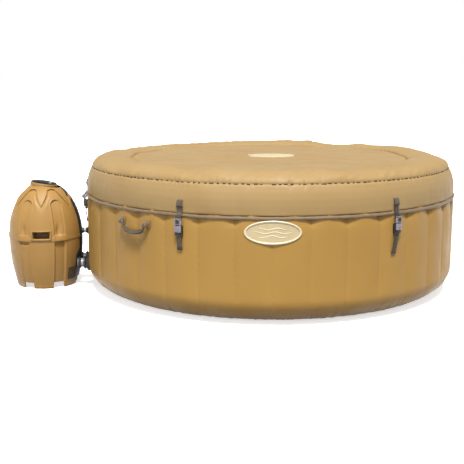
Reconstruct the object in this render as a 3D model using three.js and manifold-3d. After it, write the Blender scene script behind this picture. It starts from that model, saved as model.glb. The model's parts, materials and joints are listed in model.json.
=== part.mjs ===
// Round inflatable hot tub with its strapped cover and its pump unit.
// Millimetres, +Z up. The origin is the centre of the tub's base on the ground, -Y is the badge side.
import * as THREE from "three";
import { mergeVertices } from "three/addons/utils/BufferGeometryUtils.js";
import Module from "manifold-3d";

const wasm = await Module();
wasm.setup();

// ---- driving dimensions ----
const GAP = 0.4; // between pieces that touch
const SKIN = 2.4; // coated fabric, drawn thicker than life so that it stays a solid
const TUB_R = 978; // crest of the wall panels
const POOL_R = 735; // inside of the pool
const WALL_TOP = 676;
const WALL_CORNER_R = 170; // how far the base curves in
const WALL_CORNER_H = 125; // how high that curve reaches
const WALL_SHOULDER = 148; // height of the rounded top of the wall
const PANELS = 36;
const PANEL_SWELL = 10; // from seam to crest
const CREST_TURN = Math.PI / PANELS; // from a seam to the next crest

const COVER_HEM_R = 984;
const COVER_HEM_Z = 502;
const COVER_SEAM_R = 946;
const COVER_SEAM_Z = 641;
const COVER_CROWN_R = 845;
const COVER_CROWN_Z = 695;
const COVER_DISC_Z = 676;
const WELT_R = 7;
const BLADDER_R = 700;
const BLADDER_LOW = 590;

// All angles round the tub are degrees from the badge, counter-clockwise from above.
const STRAP_ANGLES = [-145, -85, -25, 35, 95, 155];
const STRAP_WIDTH = 26;
const STRAP_TOP = 562;
const BUCKLE_WIDTH = 42;
const BUCKLE_LOW = 403;
const BUCKLE_SPLIT = 450;
const BUCKLE_TOP = 482;
const BUCKLE_FRONT = 1010; // distance from the tub's axis

const HANDLE_ANGLES = [-40, 140];
const HANDLE_SPAN = 170;
const HANDLE_PIVOT_Z = 440;
const HANDLE_PIVOT_R = 1000;
const HANDLE_DROP = 42;

const PUMP_X = -1203;
const PUMP_Y = -125;
const PUMP_R = 192;
const PUMP_FOOT_R = 155;
const PUMP_BELLY_Z = 262; // height of the widest place
const PUMP_SPLIT_Z = 256; // where the two halves of the casing meet
const PUMP_DOME_H = 290;
const PUMP_CUT_Z = 528; // where the dome is cut for the control panel
const PUMP_WALL = 5;
const HANDHOLD_HALF = 44;
const HANDHOLD_LOW = 273;
const HANDHOLD_TOP = 308;
const HANDHOLD_DEPTH = 42;
const PUMP_STEPS = 28;
const PANEL_R = 70;
const PANEL_HOLE_R = 45; // the opening under the control panel
const PANEL_TILT = THREE.MathUtils.degToRad(9);
const WATER_Z = 120;
const WATER_Y = 72; // the two water couplings stand either side of the pump's centre line
const WATER_R = 22;
const NUT_START = 190; // how far from the pump's axis the coupling nuts begin
const AIR_Z = 284;
const AIR_R = 13;
const GLAND_Z = 120;

// ---- materials ----
function paint(color, roughness, metalness = 0) {
  return new THREE.MeshStandardMaterial({ color, roughness, metalness });
}

const MATERIALS = {
  pvc: paint(0xb4914f, 0.5),
  lid: paint(0xc2a573, 0.5),
  liner: paint(0xd8d2c2, 0.5),
  welt: paint(0x968770, 0.7),
  webbing: paint(0x7d7263, 0.9),
  buckle: paint(0xa9a4b4, 0.35),
  black: paint(0x1c1b1a, 0.5),
  badge: paint(0xd8c79c, 0.4),
  pump: paint(0xb08a4c, 0.45),
  grey: paint(0x8d8d8c, 0.5),
  screen: paint(0x101418, 0.1),
  metal: paint(0x9a9c9e, 0.35, 0.9),
  paper: paint(0xf0f0ec, 0.8),
};

// ---- geometry helpers ----
const hotTub = new THREE.Group();

function addPart(name, geometry, material, parent = hotTub) {
  const mesh = new THREE.Mesh(geometry, MATERIALS[material]);
  mesh.name = name;
  parent.add(mesh);
  return mesh;
}

function toSolid(geometry) {
  const bare = new THREE.BufferGeometry();
  const whole = geometry.index ? geometry.toNonIndexed() : geometry;
  bare.setAttribute("position", whole.getAttribute("position").clone());
  const merged = mergeVertices(bare, 1e-3);
  return new wasm.Manifold(
    new wasm.Mesh({
      numProp: 3,
      vertProperties: merged.attributes.position.array,
      triVerts: new Uint32Array(merged.index.array),
    }),
  );
}

function toGeometry(solid) {
  const mesh = solid.getMesh();
  const geometry = new THREE.BufferGeometry();
  const positions = new Float32Array(mesh.numVert * 3);
  for (let i = 0; i < mesh.numVert; i++) {
    positions.set(mesh.vertProperties.subarray(i * mesh.numProp, i * mesh.numProp + 3), i * 3);
  }
  geometry.setAttribute("position", new THREE.BufferAttribute(positions, 3));
  geometry.setIndex(new THREE.BufferAttribute(mesh.triVerts, 1));
  geometry.computeVertexNormals();
  return geometry;
}

// The first shape with the rest joined to it.
function join(first, ...others) {
  return toGeometry(others.reduce((sum, other) => sum.add(toSolid(other)), toSolid(first)));
}

// The first shape with the rest cut out of it.
function cut(first, ...others) {
  return toGeometry(others.reduce((left, other) => left.subtract(toSolid(other)), toSolid(first)));
}

// A body of revolution about Z, with its flats' corners on the panel crests.
// The profile holds [radius, height] points, low to high up the outside and then back down the inside.
function turned(profile, steps = PANELS) {
  const points = profile.map(([r, z]) => new THREE.Vector2(r, z));
  return new THREE.LatheGeometry(points, steps).rotateX(Math.PI / 2).rotateZ(CREST_TURN);
}

function boxOf([x0, y0, z0], [x1, y1, z1]) {
  const box = new THREE.BoxGeometry(x1 - x0, y1 - y0, z1 - z0);
  return box.translate((x0 + x1) / 2, (y0 + y1) / 2, (z0 + z1) / 2);
}

// A cylinder along Z from low to high.
function post(r, low, high, steps = 16) {
  const standing = new THREE.CylinderGeometry(r, r, high - low, steps).rotateX(Math.PI / 2);
  return standing.translate(0, 0, (low + high) / 2);
}

// A cylinder along X from x0 to x1, centred on y and z.
function bar(r, x0, x1, y, z, steps = 16) {
  return new THREE.CylinderGeometry(r, r, x1 - x0, steps).rotateZ(Math.PI / 2).translate((x0 + x1) / 2, y, z);
}

// A cylinder that stands out of the tub's side: axis along Y, from radius r0 to r1, at height z.
function stud(r, r0, r1, x, z, steps = 16) {
  return new THREE.CylinderGeometry(r, r, r1 - r0, steps).translate(x, -(r0 + r1) / 2, z);
}

// A group at an angle round the tub, in which -Y is straight out of the wall.
function stationAt(degrees) {
  const station = new THREE.Group();
  station.rotation.z = THREE.MathUtils.degToRad(degrees);
  hotTub.add(station);
  return station;
}

// A closed ring whose section is [radius, height, swell]: swell is how much of the panels' crest it takes.
function panelledRing(section) {
  const positions = [];
  const indices = [];
  const count = section.length;
  for (let i = 0; i < 2 * PANELS; i++) {
    const angle = i * CREST_TURN;
    const depth = i % 2 === 0 ? PANEL_SWELL : 0;
    for (const [r, z, swell] of section) {
      const reach = r - depth * swell;
      positions.push(reach * Math.sin(angle), -reach * Math.cos(angle), z);
    }
    const next = ((i + 1) % (2 * PANELS)) * count;
    for (let j = 0; j < count; j++) {
      const k = (j + 1) % count;
      indices.push(i * count + j, next + j, next + k, i * count + j, next + k, i * count + k);
    }
  }
  const geometry = new THREE.BufferGeometry();
  geometry.setAttribute("position", new THREE.Float32BufferAttribute(positions, 3));
  geometry.setIndex(indices);
  geometry.computeVertexNormals();
  return geometry;
}

// ---- the connections between pump and tub share one frame: +X runs from the pump's axis to the tub's ----
const pumpDistance = Math.hypot(PUMP_X, PUMP_Y);
const pumpUnit = new THREE.Group();
pumpUnit.position.set(PUMP_X, PUMP_Y, 0);
pumpUnit.rotation.z = Math.atan2(-PUMP_Y, -PUMP_X);
hotTub.add(pumpUnit);
pumpUnit.updateMatrixWorld(true);

// The same frame, for a shape that is to be cut out of the tub's own walls.
const asSeenFromTub = (geometry) => geometry.clone().applyMatrix4(pumpUnit.matrixWorld);

const wallOuterX = pumpDistance - TUB_R;
const wallInnerX = pumpDistance - POOL_R;
const waterPorts = [-WATER_Y, WATER_Y];

function portHoles(x0, x1) {
  const holes = waterPorts.map((y) => bar(WATER_R + GAP, x0, x1, y, WATER_Z));
  holes.push(bar(AIR_R + GAP, x0, x1, 0, AIR_Z));
  return holes.map(asSeenFromTub);
}

// ---- tub ----
function wallOutline(inset) {
  const points = [];
  const r0 = TUB_R - WALL_CORNER_R;
  const h = WALL_CORNER_H - inset;
  points.push([POOL_R + SKIN, inset, 0]);
  for (let i = 0; i <= 3; i++) {
    const t = (i / 3) * (Math.PI / 2);
    const r = r0 + (WALL_CORNER_R - inset) * Math.sin(t);
    points.push([r, WALL_CORNER_H - h * Math.cos(t), i / 3]);
  }
  const top = WALL_TOP - inset;
  const reach = TUB_R - inset;
  points.push([reach, 440, 1]);
  for (let i = 0; i <= 4; i++) {
    const t = (i / 4) * Math.PI;
    const middle = (TUB_R + POOL_R) / 2;
    const half = t < Math.PI / 2 ? reach - 4 - middle : middle - POOL_R - SKIN;
    const swell = i === 0 ? 0.6 : 0;
    points.push([middle + half * Math.cos(t), top - WALL_SHOULDER + WALL_SHOULDER * Math.sin(t), swell]);
  }
  return points;
}

function buildWalls() {
  const section = [...wallOutline(0), ...wallOutline(SKIN).reverse()];
  const outer = panelledRing(section);
  addPart("wall_outer_skin", cut(outer, ...portHoles(wallOuterX - 20, wallOuterX + 60)), "pvc");

  const top = WALL_TOP - WALL_SHOULDER;
  const inner = turned([
    [POOL_R, SKIN + GAP],
    [POOL_R + SKIN - GAP, SKIN + GAP],
    [POOL_R + SKIN - GAP, top],
    [POOL_R, top],
    [POOL_R, SKIN + GAP],
  ]);
  addPart("wall_inner_skin", cut(inner, ...portHoles(wallInnerX - 40, wallInnerX + 40)), "liner");
}

// The radial webs that hold the two skins apart, on one flange ring.
function buildBeams() {
  const low = WALL_CORNER_H + 20;
  const high = WALL_TOP - WALL_SHOULDER - 90;
  const flangeR = POOL_R + SKIN;
  const flange = turned([
    [flangeR, low],
    [flangeR + SKIN, low],
    [flangeR + SKIN, high],
    [flangeR, high],
    [flangeR, low],
  ]);
  let beams = toSolid(flange);
  for (let i = 0; i < PANELS; i++) {
    const reach = TUB_R - PANEL_SWELL - SKIN - 2 * GAP;
    const web = boxOf([-1, -reach, low], [1, 1 - flangeR, high]).rotateZ((i / PANELS) * 2 * Math.PI);
    beams = beams.add(toSolid(web));
  }
  for (const hole of portHoles(wallOuterX - 40, wallInnerX + 40)) {
    beams = beams.subtract(toSolid(hole.clone()));
  }
  addPart("wall_beams", toGeometry(beams), "liner");
}

function buildFloor() {
  addPart("floor_pad", post(POOL_R - 4, 0, 6, PANELS), "liner");
  const back = POOL_R - 2;
  const front = back - 34;
  addPart(
    "jet_ring",
    turned([
      [front, 8],
      [back, 8],
      [back, 11],
      [front + 3, 11],
      [front + 3, 32],
      [back, 44],
      [back, 48],
      [front, 35],
      [front, 8],
    ]),
    "pvc",
  );
}

function buildFrontBadge() {
  const oval = post(127, -2, 2, 32).scale(1, 54 / 127, 1);
  addPart("front_badge", oval.rotateX(Math.PI / 2).translate(0, -TUB_R - 3.5, 433), "badge");
}

// A screw valve with its cap, standing out of the wall at one station.
function buildValve(name, degrees, z, r) {
  const station = stationAt(degrees);
  const seat = TUB_R + 1;
  const flange = stud(r + 9, seat, seat + 3, 0, z);
  const spout = stud(r, seat + 2, seat + 12, 0, z);
  addPart(`${name}_valve`, join(flange, spout), "grey", station);
  const cap = cut(stud(r + 5, seat + 3 + GAP, seat + 18, 0, z), stud(r + GAP, seat, seat + 13, 0, z));
  addPart(`${name}_cap`, cap, "grey", station);
}

function buildHandle(index, degrees) {
  const station = stationAt(degrees);
  const half = HANDLE_SPAN / 2;
  const blocks = [-1, 1].map((side) => {
    const x = side * half;
    const block = boxOf(
      [x - 13, -HANDLE_PIVOT_R - 11, HANDLE_PIVOT_Z - 14],
      [x + 13, -TUB_R - 4, HANDLE_PIVOT_Z + 16],
    );
    return cut(block, bar(5, x - side * 13 - 9, x - side * 13 + 9, -HANDLE_PIVOT_R, HANDLE_PIVOT_Z, 12));
  });
  const plate = boxOf(
    [-half - 8, -TUB_R - 5, HANDLE_PIVOT_Z - 8],
    [half + 8, -TUB_R - 2, HANDLE_PIVOT_Z + 10],
  );
  addPart(`handle_anchor_${index}`, join(plate, ...blocks), "welt", station);

  const inside = half - 13;
  const corner = (x, z) => new THREE.Vector3(x, -HANDLE_PIVOT_R, HANDLE_PIVOT_Z - z);
  const path = new THREE.CurvePath();
  const route = [
    corner(-inside - 7, 0),
    corner(-inside + 8, 0),
    corner(-inside + 14, HANDLE_DROP),
    corner(inside - 14, HANDLE_DROP),
    corner(inside - 8, 0),
    corner(inside + 7, 0),
  ];
  for (let i = 1; i < route.length; i++) {
    path.add(new THREE.LineCurve3(route[i - 1], route[i]));
  }
  const up = new THREE.Vector3(0, 1, 0);
  const rods = path.curves.map(({ v1, v2 }) => {
    const along = v2.clone().sub(v1);
    const middle = v1.clone().add(v2).multiplyScalar(0.5);
    const rod = new THREE.CylinderGeometry(4.4, 4.4, along.length(), 8);
    const turn = new THREE.Quaternion().setFromUnitVectors(up, along.normalize());
    return rod.applyQuaternion(turn).translate(middle.x, middle.y, middle.z);
  });
  const knuckle = (p) => new THREE.SphereGeometry(4.6, 8, 5).translate(p.x, p.y, p.z);
  const knuckles = route.slice(1, -1).map(knuckle);
  const grip = bar(9, -inside + 20, inside - 20, -HANDLE_PIVOT_R, HANDLE_PIVOT_Z - HANDLE_DROP, 14);
  addPart(`handle_grip_${index}`, join(...rods, ...knuckles, grip), "welt", station);
}

// ---- cover ----
function coverOutline(inset) {
  const points = [[COVER_HEM_R - inset, COVER_HEM_Z]];
  for (let i = 1; i <= 2; i++) {
    const t = i / 2;
    const r = COVER_HEM_R - (COVER_HEM_R - COVER_SEAM_R) * t * t;
    points.push([r - inset, COVER_HEM_Z + (COVER_SEAM_Z - COVER_HEM_Z) * t - inset * t]);
  }
  for (let i = 1; i <= 3; i++) {
    const t = (i / 3) * (Math.PI / 2);
    const r = COVER_CROWN_R + (COVER_SEAM_R - COVER_CROWN_R) * Math.cos(t) - inset * Math.cos(t);
    points.push([r, COVER_SEAM_Z + (COVER_CROWN_Z - COVER_SEAM_Z) * Math.sin(t) - inset]);
  }
  points.push([POOL_R + 40, COVER_CROWN_Z - 6 - inset]);
  points.push([POOL_R, COVER_DISC_Z - inset]);
  points.push([0, COVER_DISC_Z - inset]);
  return points;
}

function buildCover() {
  const shell = [...coverOutline(SKIN).reverse(), ...coverOutline(0)];
  addPart("cover_shell", turned(shell), "lid");

  const hem = COVER_HEM_R + 3.5;
  const welt = [];
  for (let i = 0; i <= 6; i++) {
    const t = (i / 6) * 2 * Math.PI;
    welt.push([hem + WELT_R * Math.sin(t), COVER_HEM_Z - WELT_R - GAP - WELT_R * Math.cos(t)]);
  }
  addPart("cover_welt", turned(welt), "welt");

  const high = COVER_DISC_Z - SKIN - 4;
  const mid = (high + BLADDER_LOW) / 2;
  addPart(
    "cover_bladder",
    turned([
      [0, high - SKIN],
      [BLADDER_R - 30, high - SKIN],
      [BLADDER_R - SKIN, mid],
      [BLADDER_R - 30, BLADDER_LOW + SKIN],
      [14, BLADDER_LOW + SKIN],
      [14, BLADDER_LOW],
      [BLADDER_R - 28, BLADDER_LOW],
      [BLADDER_R, mid],
      [BLADDER_R - 28, high],
      [0, high],
    ]),
    "liner",
  );
  const oval = post(125, COVER_DISC_Z + GAP, COVER_DISC_Z + 3, 32).scale(1, 0.52, 1);
  addPart("cover_badge", oval, "badge");
}

// ---- straps and buckles ----
function buildStrap(index, degrees) {
  const station = stationAt(degrees);
  const half = STRAP_WIDTH / 2;
  const front = COVER_HEM_R + 13.5;
  const webbing = boxOf([-half, -front, BUCKLE_SPLIT + 6], [half, -front + 2.5, STRAP_TOP - 1]);
  const anchor = boxOf([-half - 3, -front, STRAP_TOP - 25], [half + 3, -COVER_HEM_R + 2, STRAP_TOP]);
  addPart(`strap_${index}`, join(webbing, anchor), "webbing", station);

  const wide = BUCKLE_WIDTH / 2;
  const tongueHalf = 14;
  const plane = BUCKLE_FRONT - 8;
  const socket = boxOf(
    [-tongueHalf - 1, -plane - 4, BUCKLE_LOW + 20],
    [tongueHalf + 1, -plane + 4, BUCKLE_SPLIT + 1],
  );
  const lockZ = (BUCKLE_SPLIT + BUCKLE_TOP) / 2 + 1;
  const lockHole = stud(8.5, BUCKLE_FRONT - 2.5, BUCKLE_FRONT + 1, 0, lockZ);
  const body = boxOf([-wide, -BUCKLE_FRONT, BUCKLE_LOW], [wide, -TUB_R - 4, BUCKLE_SPLIT]);
  addPart(`buckle_body_${index}`, cut(body, socket), "buckle", station);

  const head = boxOf([-wide, -BUCKLE_FRONT, BUCKLE_SPLIT + 1], [wide, -front - 1.5, BUCKLE_TOP]);
  const tongue = boxOf(
    [-tongueHalf, -plane - 3, BUCKLE_LOW + 24],
    [tongueHalf, -plane + 3, BUCKLE_SPLIT + 2],
  );
  addPart(`buckle_tab_${index}`, cut(join(head, tongue), lockHole), "buckle", station);

  const slot = boxOf([-1.2, -BUCKLE_FRONT - 5, lockZ - 5], [1.2, -BUCKLE_FRONT - 2.5, lockZ + 5]);
  const lock = cut(stud(8, BUCKLE_FRONT - 2, BUCKLE_FRONT + 4, 0, lockZ), slot);
  addPart(`buckle_lock_${index}`, lock, "black", station);
}

// ---- pump unit ----
function pumpRadius(z) {
  if (z <= PUMP_BELLY_Z) {
    return PUMP_R - (PUMP_R - PUMP_FOOT_R) * ((PUMP_BELLY_Z - z) / PUMP_BELLY_Z) ** 2.2;
  }
  return PUMP_R * Math.sqrt(1 - ((z - PUMP_BELLY_Z) / PUMP_DOME_H) ** 2);
}

// The casing's outline from one height to another, moved in by an inset.
function casingOutline(low, high, steps, inset) {
  const points = [];
  for (let i = 0; i <= steps; i++) {
    const z = low + ((high - low) * i) / steps;
    points.push([pumpRadius(z) - inset, z]);
  }
  return points;
}

function buildPumpCasing() {
  const low = casingOutline(0, PUMP_SPLIT_Z - GAP, 6, 0);
  const lowInside = casingOutline(PUMP_WALL, PUMP_SPLIT_Z - GAP, 5, PUMP_WALL);
  const cup = turned([[0, 0], ...low, ...lowInside.reverse(), [0, PUMP_WALL]], PUMP_STEPS);
  const stubs = waterPorts.map((y) => bar(WATER_R - 3, PUMP_R - 45, wallOuterX - 20, y, WATER_Z));
  const bores = waterPorts.map((y) => bar(WATER_R - 9, PUMP_R - 60, wallOuterX - 10, y, WATER_Z, 12));
  addPart("pump_lower_shell", cut(join(cup, ...stubs), ...bores), "pump", pumpUnit);

  const high = casingOutline(PUMP_SPLIT_Z, PUMP_CUT_Z, 9, 0);
  const highInside = casingOutline(PUMP_SPLIT_Z, PUMP_CUT_Z - PUMP_WALL, 8, PUMP_WALL);
  const lip = [
    [PANEL_HOLE_R, PUMP_CUT_Z],
    [PANEL_HOLE_R, PUMP_CUT_Z - PUMP_WALL],
  ];
  const dome = turned([...high, ...lip, ...highInside.reverse(), high[0]], PUMP_STEPS);
  const pocket = (grow) => {
    const low = [-HANDHOLD_HALF - grow, -PUMP_R - 20, HANDHOLD_LOW - grow];
    const top = [HANDHOLD_HALF + grow, -PUMP_R + HANDHOLD_DEPTH + grow, HANDHOLD_TOP + grow];
    return boxOf(low, top);
  };
  const outside = toSolid(turned([[0, PUMP_SPLIT_Z], ...high, [0, PUMP_CUT_Z]], PUMP_STEPS));
  const liner = toGeometry(toSolid(pocket(4)).intersect(outside));
  const outlet = bar(AIR_R + GAP, PUMP_R - 40, PUMP_R + 30, 0, AIR_Z);
  addPart("pump_upper_shell", cut(join(dome, liner), pocket(0), outlet), "pump", pumpUnit);
}

function buildControlPanel() {
  const head = new THREE.Group();
  head.position.set(0, 0, PUMP_CUT_Z + 11.5);
  head.rotation.y = PANEL_TILT;
  pumpUnit.add(head);
  const buttonPlaces = [-1, 0, 1].map((i) => [34, i * 26]);
  const pockets = buttonPlaces.map(([x, y]) => post(8.4, 4, 20, 12).translate(x, y, 0));
  const glassSeat = boxOf([-32, -28, 7.5], [4, 28, 20]);
  const face = post(PANEL_R, 0, 10, 32);
  addPart("control_panel", cut(face, glassSeat, ...pockets), "black", head);
  addPart("display_lens", boxOf([-31.5, -27.5, 8], [3.5, 27.5, 10.5]), "screen", head);
  const names = ["button_heat", "button_bubbles", "button_filter"];
  buttonPlaces.forEach(([x, y], i) => {
    addPart(names[i], post(8, 5.5, 11.5, 12).translate(x, y, 0), "grey", head);
  });
}

function buildPumpInside() {
  addPart("circulation_pump", bar(48, -90, 60, -60, 95, 20), "black", pumpUnit);
  addPart("heater_tube", bar(24, -80, 90, 70, 90, 16), "metal", pumpUnit);
  addPart("air_blower", post(75, 340, 420, 24), "black", pumpUnit);
  const back = pumpRadius(GLAND_Z + 14);
  const nut = bar(14, back + GAP, back + 14, 0, GLAND_Z);
  const sleeve = bar(9, back + 10, back + 26, 0, GLAND_Z);
  addPart("cable_gland", join(nut, sleeve).rotateZ(Math.PI / 2), "black", pumpUnit);
}

// ---- connections ----
function buildConnections() {
  waterPorts.forEach((y, i) => {
    const side = i === 0 ? "inlet" : "outlet";
    const start = wallOuterX - 16;
    const flange = bar(48, wallOuterX - 8, wallOuterX - 3, y, WATER_Z, 24);
    const tube = bar(WATER_R - 3, start, wallInnerX + 22, y, WATER_Z);
    const innerFlange = bar(42, wallInnerX + 12, wallInnerX + 18, y, WATER_Z, 20);
    const bore = bar(WATER_R - 8, start - 10, wallInnerX + 30, y, WATER_Z, 12);
    const otherSide = boxOf([wallOuterX - 30, y < 0 ? -1 : -400, 0], [wallInnerX + 30, y < 0 ? 400 : 1, 400]);
    addPart(`${side}_fitting`, cut(join(flange, tube, innerFlange), bore, otherSide), "grey", pumpUnit);

    const ring = bar(WATER_R + 10, NUT_START, wallOuterX - 12, y, WATER_Z, 12);
    const hole = bar(WATER_R - 2, PUMP_R - 60, wallOuterX, y, WATER_Z);
    addPart(`${side}_nut`, cut(ring, hole), "black", pumpUnit);
  });
  const duct = join(
    bar(AIR_R, PUMP_R - 30, wallOuterX + 30, 0, AIR_Z),
    bar(AIR_R + 9, wallOuterX - 14, wallOuterX - 4, 0, AIR_Z),
  );
  const bore = bar(AIR_R - 4, PUMP_R - 40, wallOuterX + 40, 0, AIR_Z, 12);
  addPart("air_duct", cut(duct, bore), "grey", pumpUnit);
}

function buildFilter() {
  const y = -WATER_Y;
  const start = wallInnerX + 24;
  const cup = bar(50, start, start + 110, y, WATER_Z, 24);
  const inside = bar(46, start - 5, start + 106, y, WATER_Z, 24);
  addPart("filter_housing", cut(cup, inside), "liner", pumpUnit);
  const pleats = bar(40, start + 4, start + 98, y, WATER_Z, 24);
  const core = bar(16, start, start + 110, y, WATER_Z, 16);
  addPart("filter_cartridge", cut(pleats, core), "paper", pumpUnit);
}

// ---- assembly ----
buildWalls();
buildBeams();
buildFloor();
buildFrontBadge();
buildValve("inflation", 115, 300, 16);
buildValve("drain", -115, 150, 14);
HANDLE_ANGLES.forEach((degrees, i) => buildHandle(i + 1, degrees));
buildCover();
STRAP_ANGLES.forEach((degrees, i) => buildStrap(i + 1, degrees));
buildPumpCasing();
buildControlPanel();
buildPumpInside();
buildConnections();
buildFilter();

export default hotTub;
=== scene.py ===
"""Looks of a round inflatable hot tub with its strapped cover and pump unit, built round the CAD frame.

Metres, +Z up. Angles round the tub are degrees from the badge (-Y), counter-clockwise from above.
A piece at a "station" is drawn with x along the wall, out away from the tub's axis, and z up.
"""

import json
import math

import bpy
import numpy as np
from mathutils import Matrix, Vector


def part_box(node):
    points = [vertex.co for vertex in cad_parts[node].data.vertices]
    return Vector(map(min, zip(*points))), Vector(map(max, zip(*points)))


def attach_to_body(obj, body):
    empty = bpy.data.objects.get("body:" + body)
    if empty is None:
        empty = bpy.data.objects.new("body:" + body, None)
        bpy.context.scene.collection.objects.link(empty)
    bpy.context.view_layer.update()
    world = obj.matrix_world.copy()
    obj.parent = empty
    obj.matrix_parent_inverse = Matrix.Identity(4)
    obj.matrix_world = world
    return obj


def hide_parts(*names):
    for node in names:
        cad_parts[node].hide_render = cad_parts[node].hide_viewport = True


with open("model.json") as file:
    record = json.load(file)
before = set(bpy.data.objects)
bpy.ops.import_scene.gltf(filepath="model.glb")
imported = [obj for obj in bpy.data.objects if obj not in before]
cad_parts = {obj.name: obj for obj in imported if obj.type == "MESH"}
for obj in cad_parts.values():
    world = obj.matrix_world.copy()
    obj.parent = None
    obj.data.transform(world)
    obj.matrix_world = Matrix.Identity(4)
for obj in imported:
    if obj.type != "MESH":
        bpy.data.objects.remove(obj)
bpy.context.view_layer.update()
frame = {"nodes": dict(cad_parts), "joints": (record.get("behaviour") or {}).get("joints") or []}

# ---- driving dimensions, from the frame ----
PANELS = 36
PANEL_DEG = 360 / PANELS
ON_CREST = math.cos(math.radians(PANEL_DEG / 2))
PANELS_OUT = 0.003  # the wall is blown up a little past the frame's facets
COVER_IN = 0.0085  # the straps pull the cover's hem in
WALL_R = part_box("wall_outer_skin")[1].x / ON_CREST + PANELS_OUT
WALL_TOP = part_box("wall_outer_skin")[1].z
POOL_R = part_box("wall_inner_skin")[1].x / ON_CREST
WELT_LOW, WELT_HIGH = (corner.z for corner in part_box("cover_welt"))
WELT_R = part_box("cover_welt")[1].x / ON_CREST - COVER_IN
CROWN_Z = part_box("cover_shell")[1].z
COVER_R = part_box("cover_shell")[1].x / ON_CREST - COVER_IN
BADGE_LOW, BADGE_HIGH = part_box("front_badge")
LID_BADGE_LOW, LID_BADGE_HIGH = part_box("cover_badge")
FLOOR_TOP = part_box("floor_pad")[1].z
BLADDER_LOW, BLADDER_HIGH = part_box("cover_bladder")
JOINTS = {joint["name"]: joint for joint in frame["joints"]}
SEAM_R = 0.950
SEAM_Z = 0.641
CROWN_R = 0.845
DISC_R = POOL_R
DISC_Z = LID_BADGE_LOW.z
WALL_CORNER_R = 0.17
WALL_CORNER_H = 0.125
WALL_SHOULDER = 0.148
JETS = 72


def angle_of(joint_name):
    """Degrees round the tub of a joint's place."""
    x, y, _ = JOINTS[joint_name]["pos_m"]
    return math.degrees(math.atan2(x, -y))


STRAPS = range(1, 7)
STRAP_ANGLES = {i: angle_of(f"buckle_{i}_lock") for i in STRAPS}
LOCK_Z = JOINTS["buckle_1_lock"]["pos_m"][2]
HANDLES = (1, 2)
HANDLE_ANGLES = {i: angle_of(f"handle_{i}_swing") for i in HANDLES}
HANDLE_PIVOT = math.hypot(*JOINTS["handle_1_swing"]["pos_m"][:2])
HANDLE_Z = JOINTS["handle_1_swing"]["pos_m"][2]
HANDLE_HALF = 0.0850
BUCKLE_FRONT = 1.004
BUCKLE_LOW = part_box("buckle_body_1")[0].z
BUCKLE_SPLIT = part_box("buckle_body_1")[1].z
BUCKLE_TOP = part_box("buckle_tab_1")[1].z
BUCKLE_WIDTH = 0.036
CLIP_REAR = 0.9940
SOCKET_REAR = 0.9820
SOCKET_MIDDLE = BUCKLE_LOW + 0.0312
STRAP_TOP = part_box("strap_1")[1].z
STRAP_WIDTH = 0.026

PUMP_AXIS = np.array([-1.203, -0.125])
PUMP_R = 0.192
PUMP_FOOT_R = 0.155
PUMP_BELLY_Z = 0.262
PUMP_DOME_H = 0.29
PUMP_TURN = math.atan2(-PUMP_AXIS[1], -PUMP_AXIS[0])
PUMP_TOP_Z = 0.528
PANEL_TILT = math.radians(9)
WATER_Y = 0.072
WATER_Z = 0.12
AIR_Z = 0.284
WALL_X = math.hypot(*PUMP_AXIS) - WALL_R  # where the tub's wall stands on the line from pump to tub
LOBE_DEG = 60  # the casing's folds and flutes repeat round it
FLUTE_HALF = 0.031
NECK_R = 0.0700
LEDGE_LOW = 0.258
HANDHOLD = (0.043, 0.2735, 0.3075)  # half width, low, top
PANEL_R = 0.0665
HEAD_Z = PUMP_TOP_Z + 0.0115


# ---- camera ----
def add_camera():
    data = bpy.data.cameras.new("camera")
    data.sensor_width = 36
    data.lens = 66.96
    camera = bpy.data.objects.new("camera", data)
    camera.location = (-0.0958, -4.689, 1.11)
    camera.rotation_euler = (math.radians(90 - 10.30), 0, math.radians(1.28))
    bpy.context.scene.collection.objects.link(camera)
    bpy.context.scene.camera = camera


add_camera()


# ---- materials ----
def linear(red, green, blue):
    """A colour given as on screen, 0 to 255, as the shader's linear values."""
    values = []
    for c in (red / 255, green / 255, blue / 255):
        values.append(c / 12.92 if c <= 0.04045 else ((c + 0.055) / 1.055) ** 2.4)
    return (*values, 1)


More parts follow.
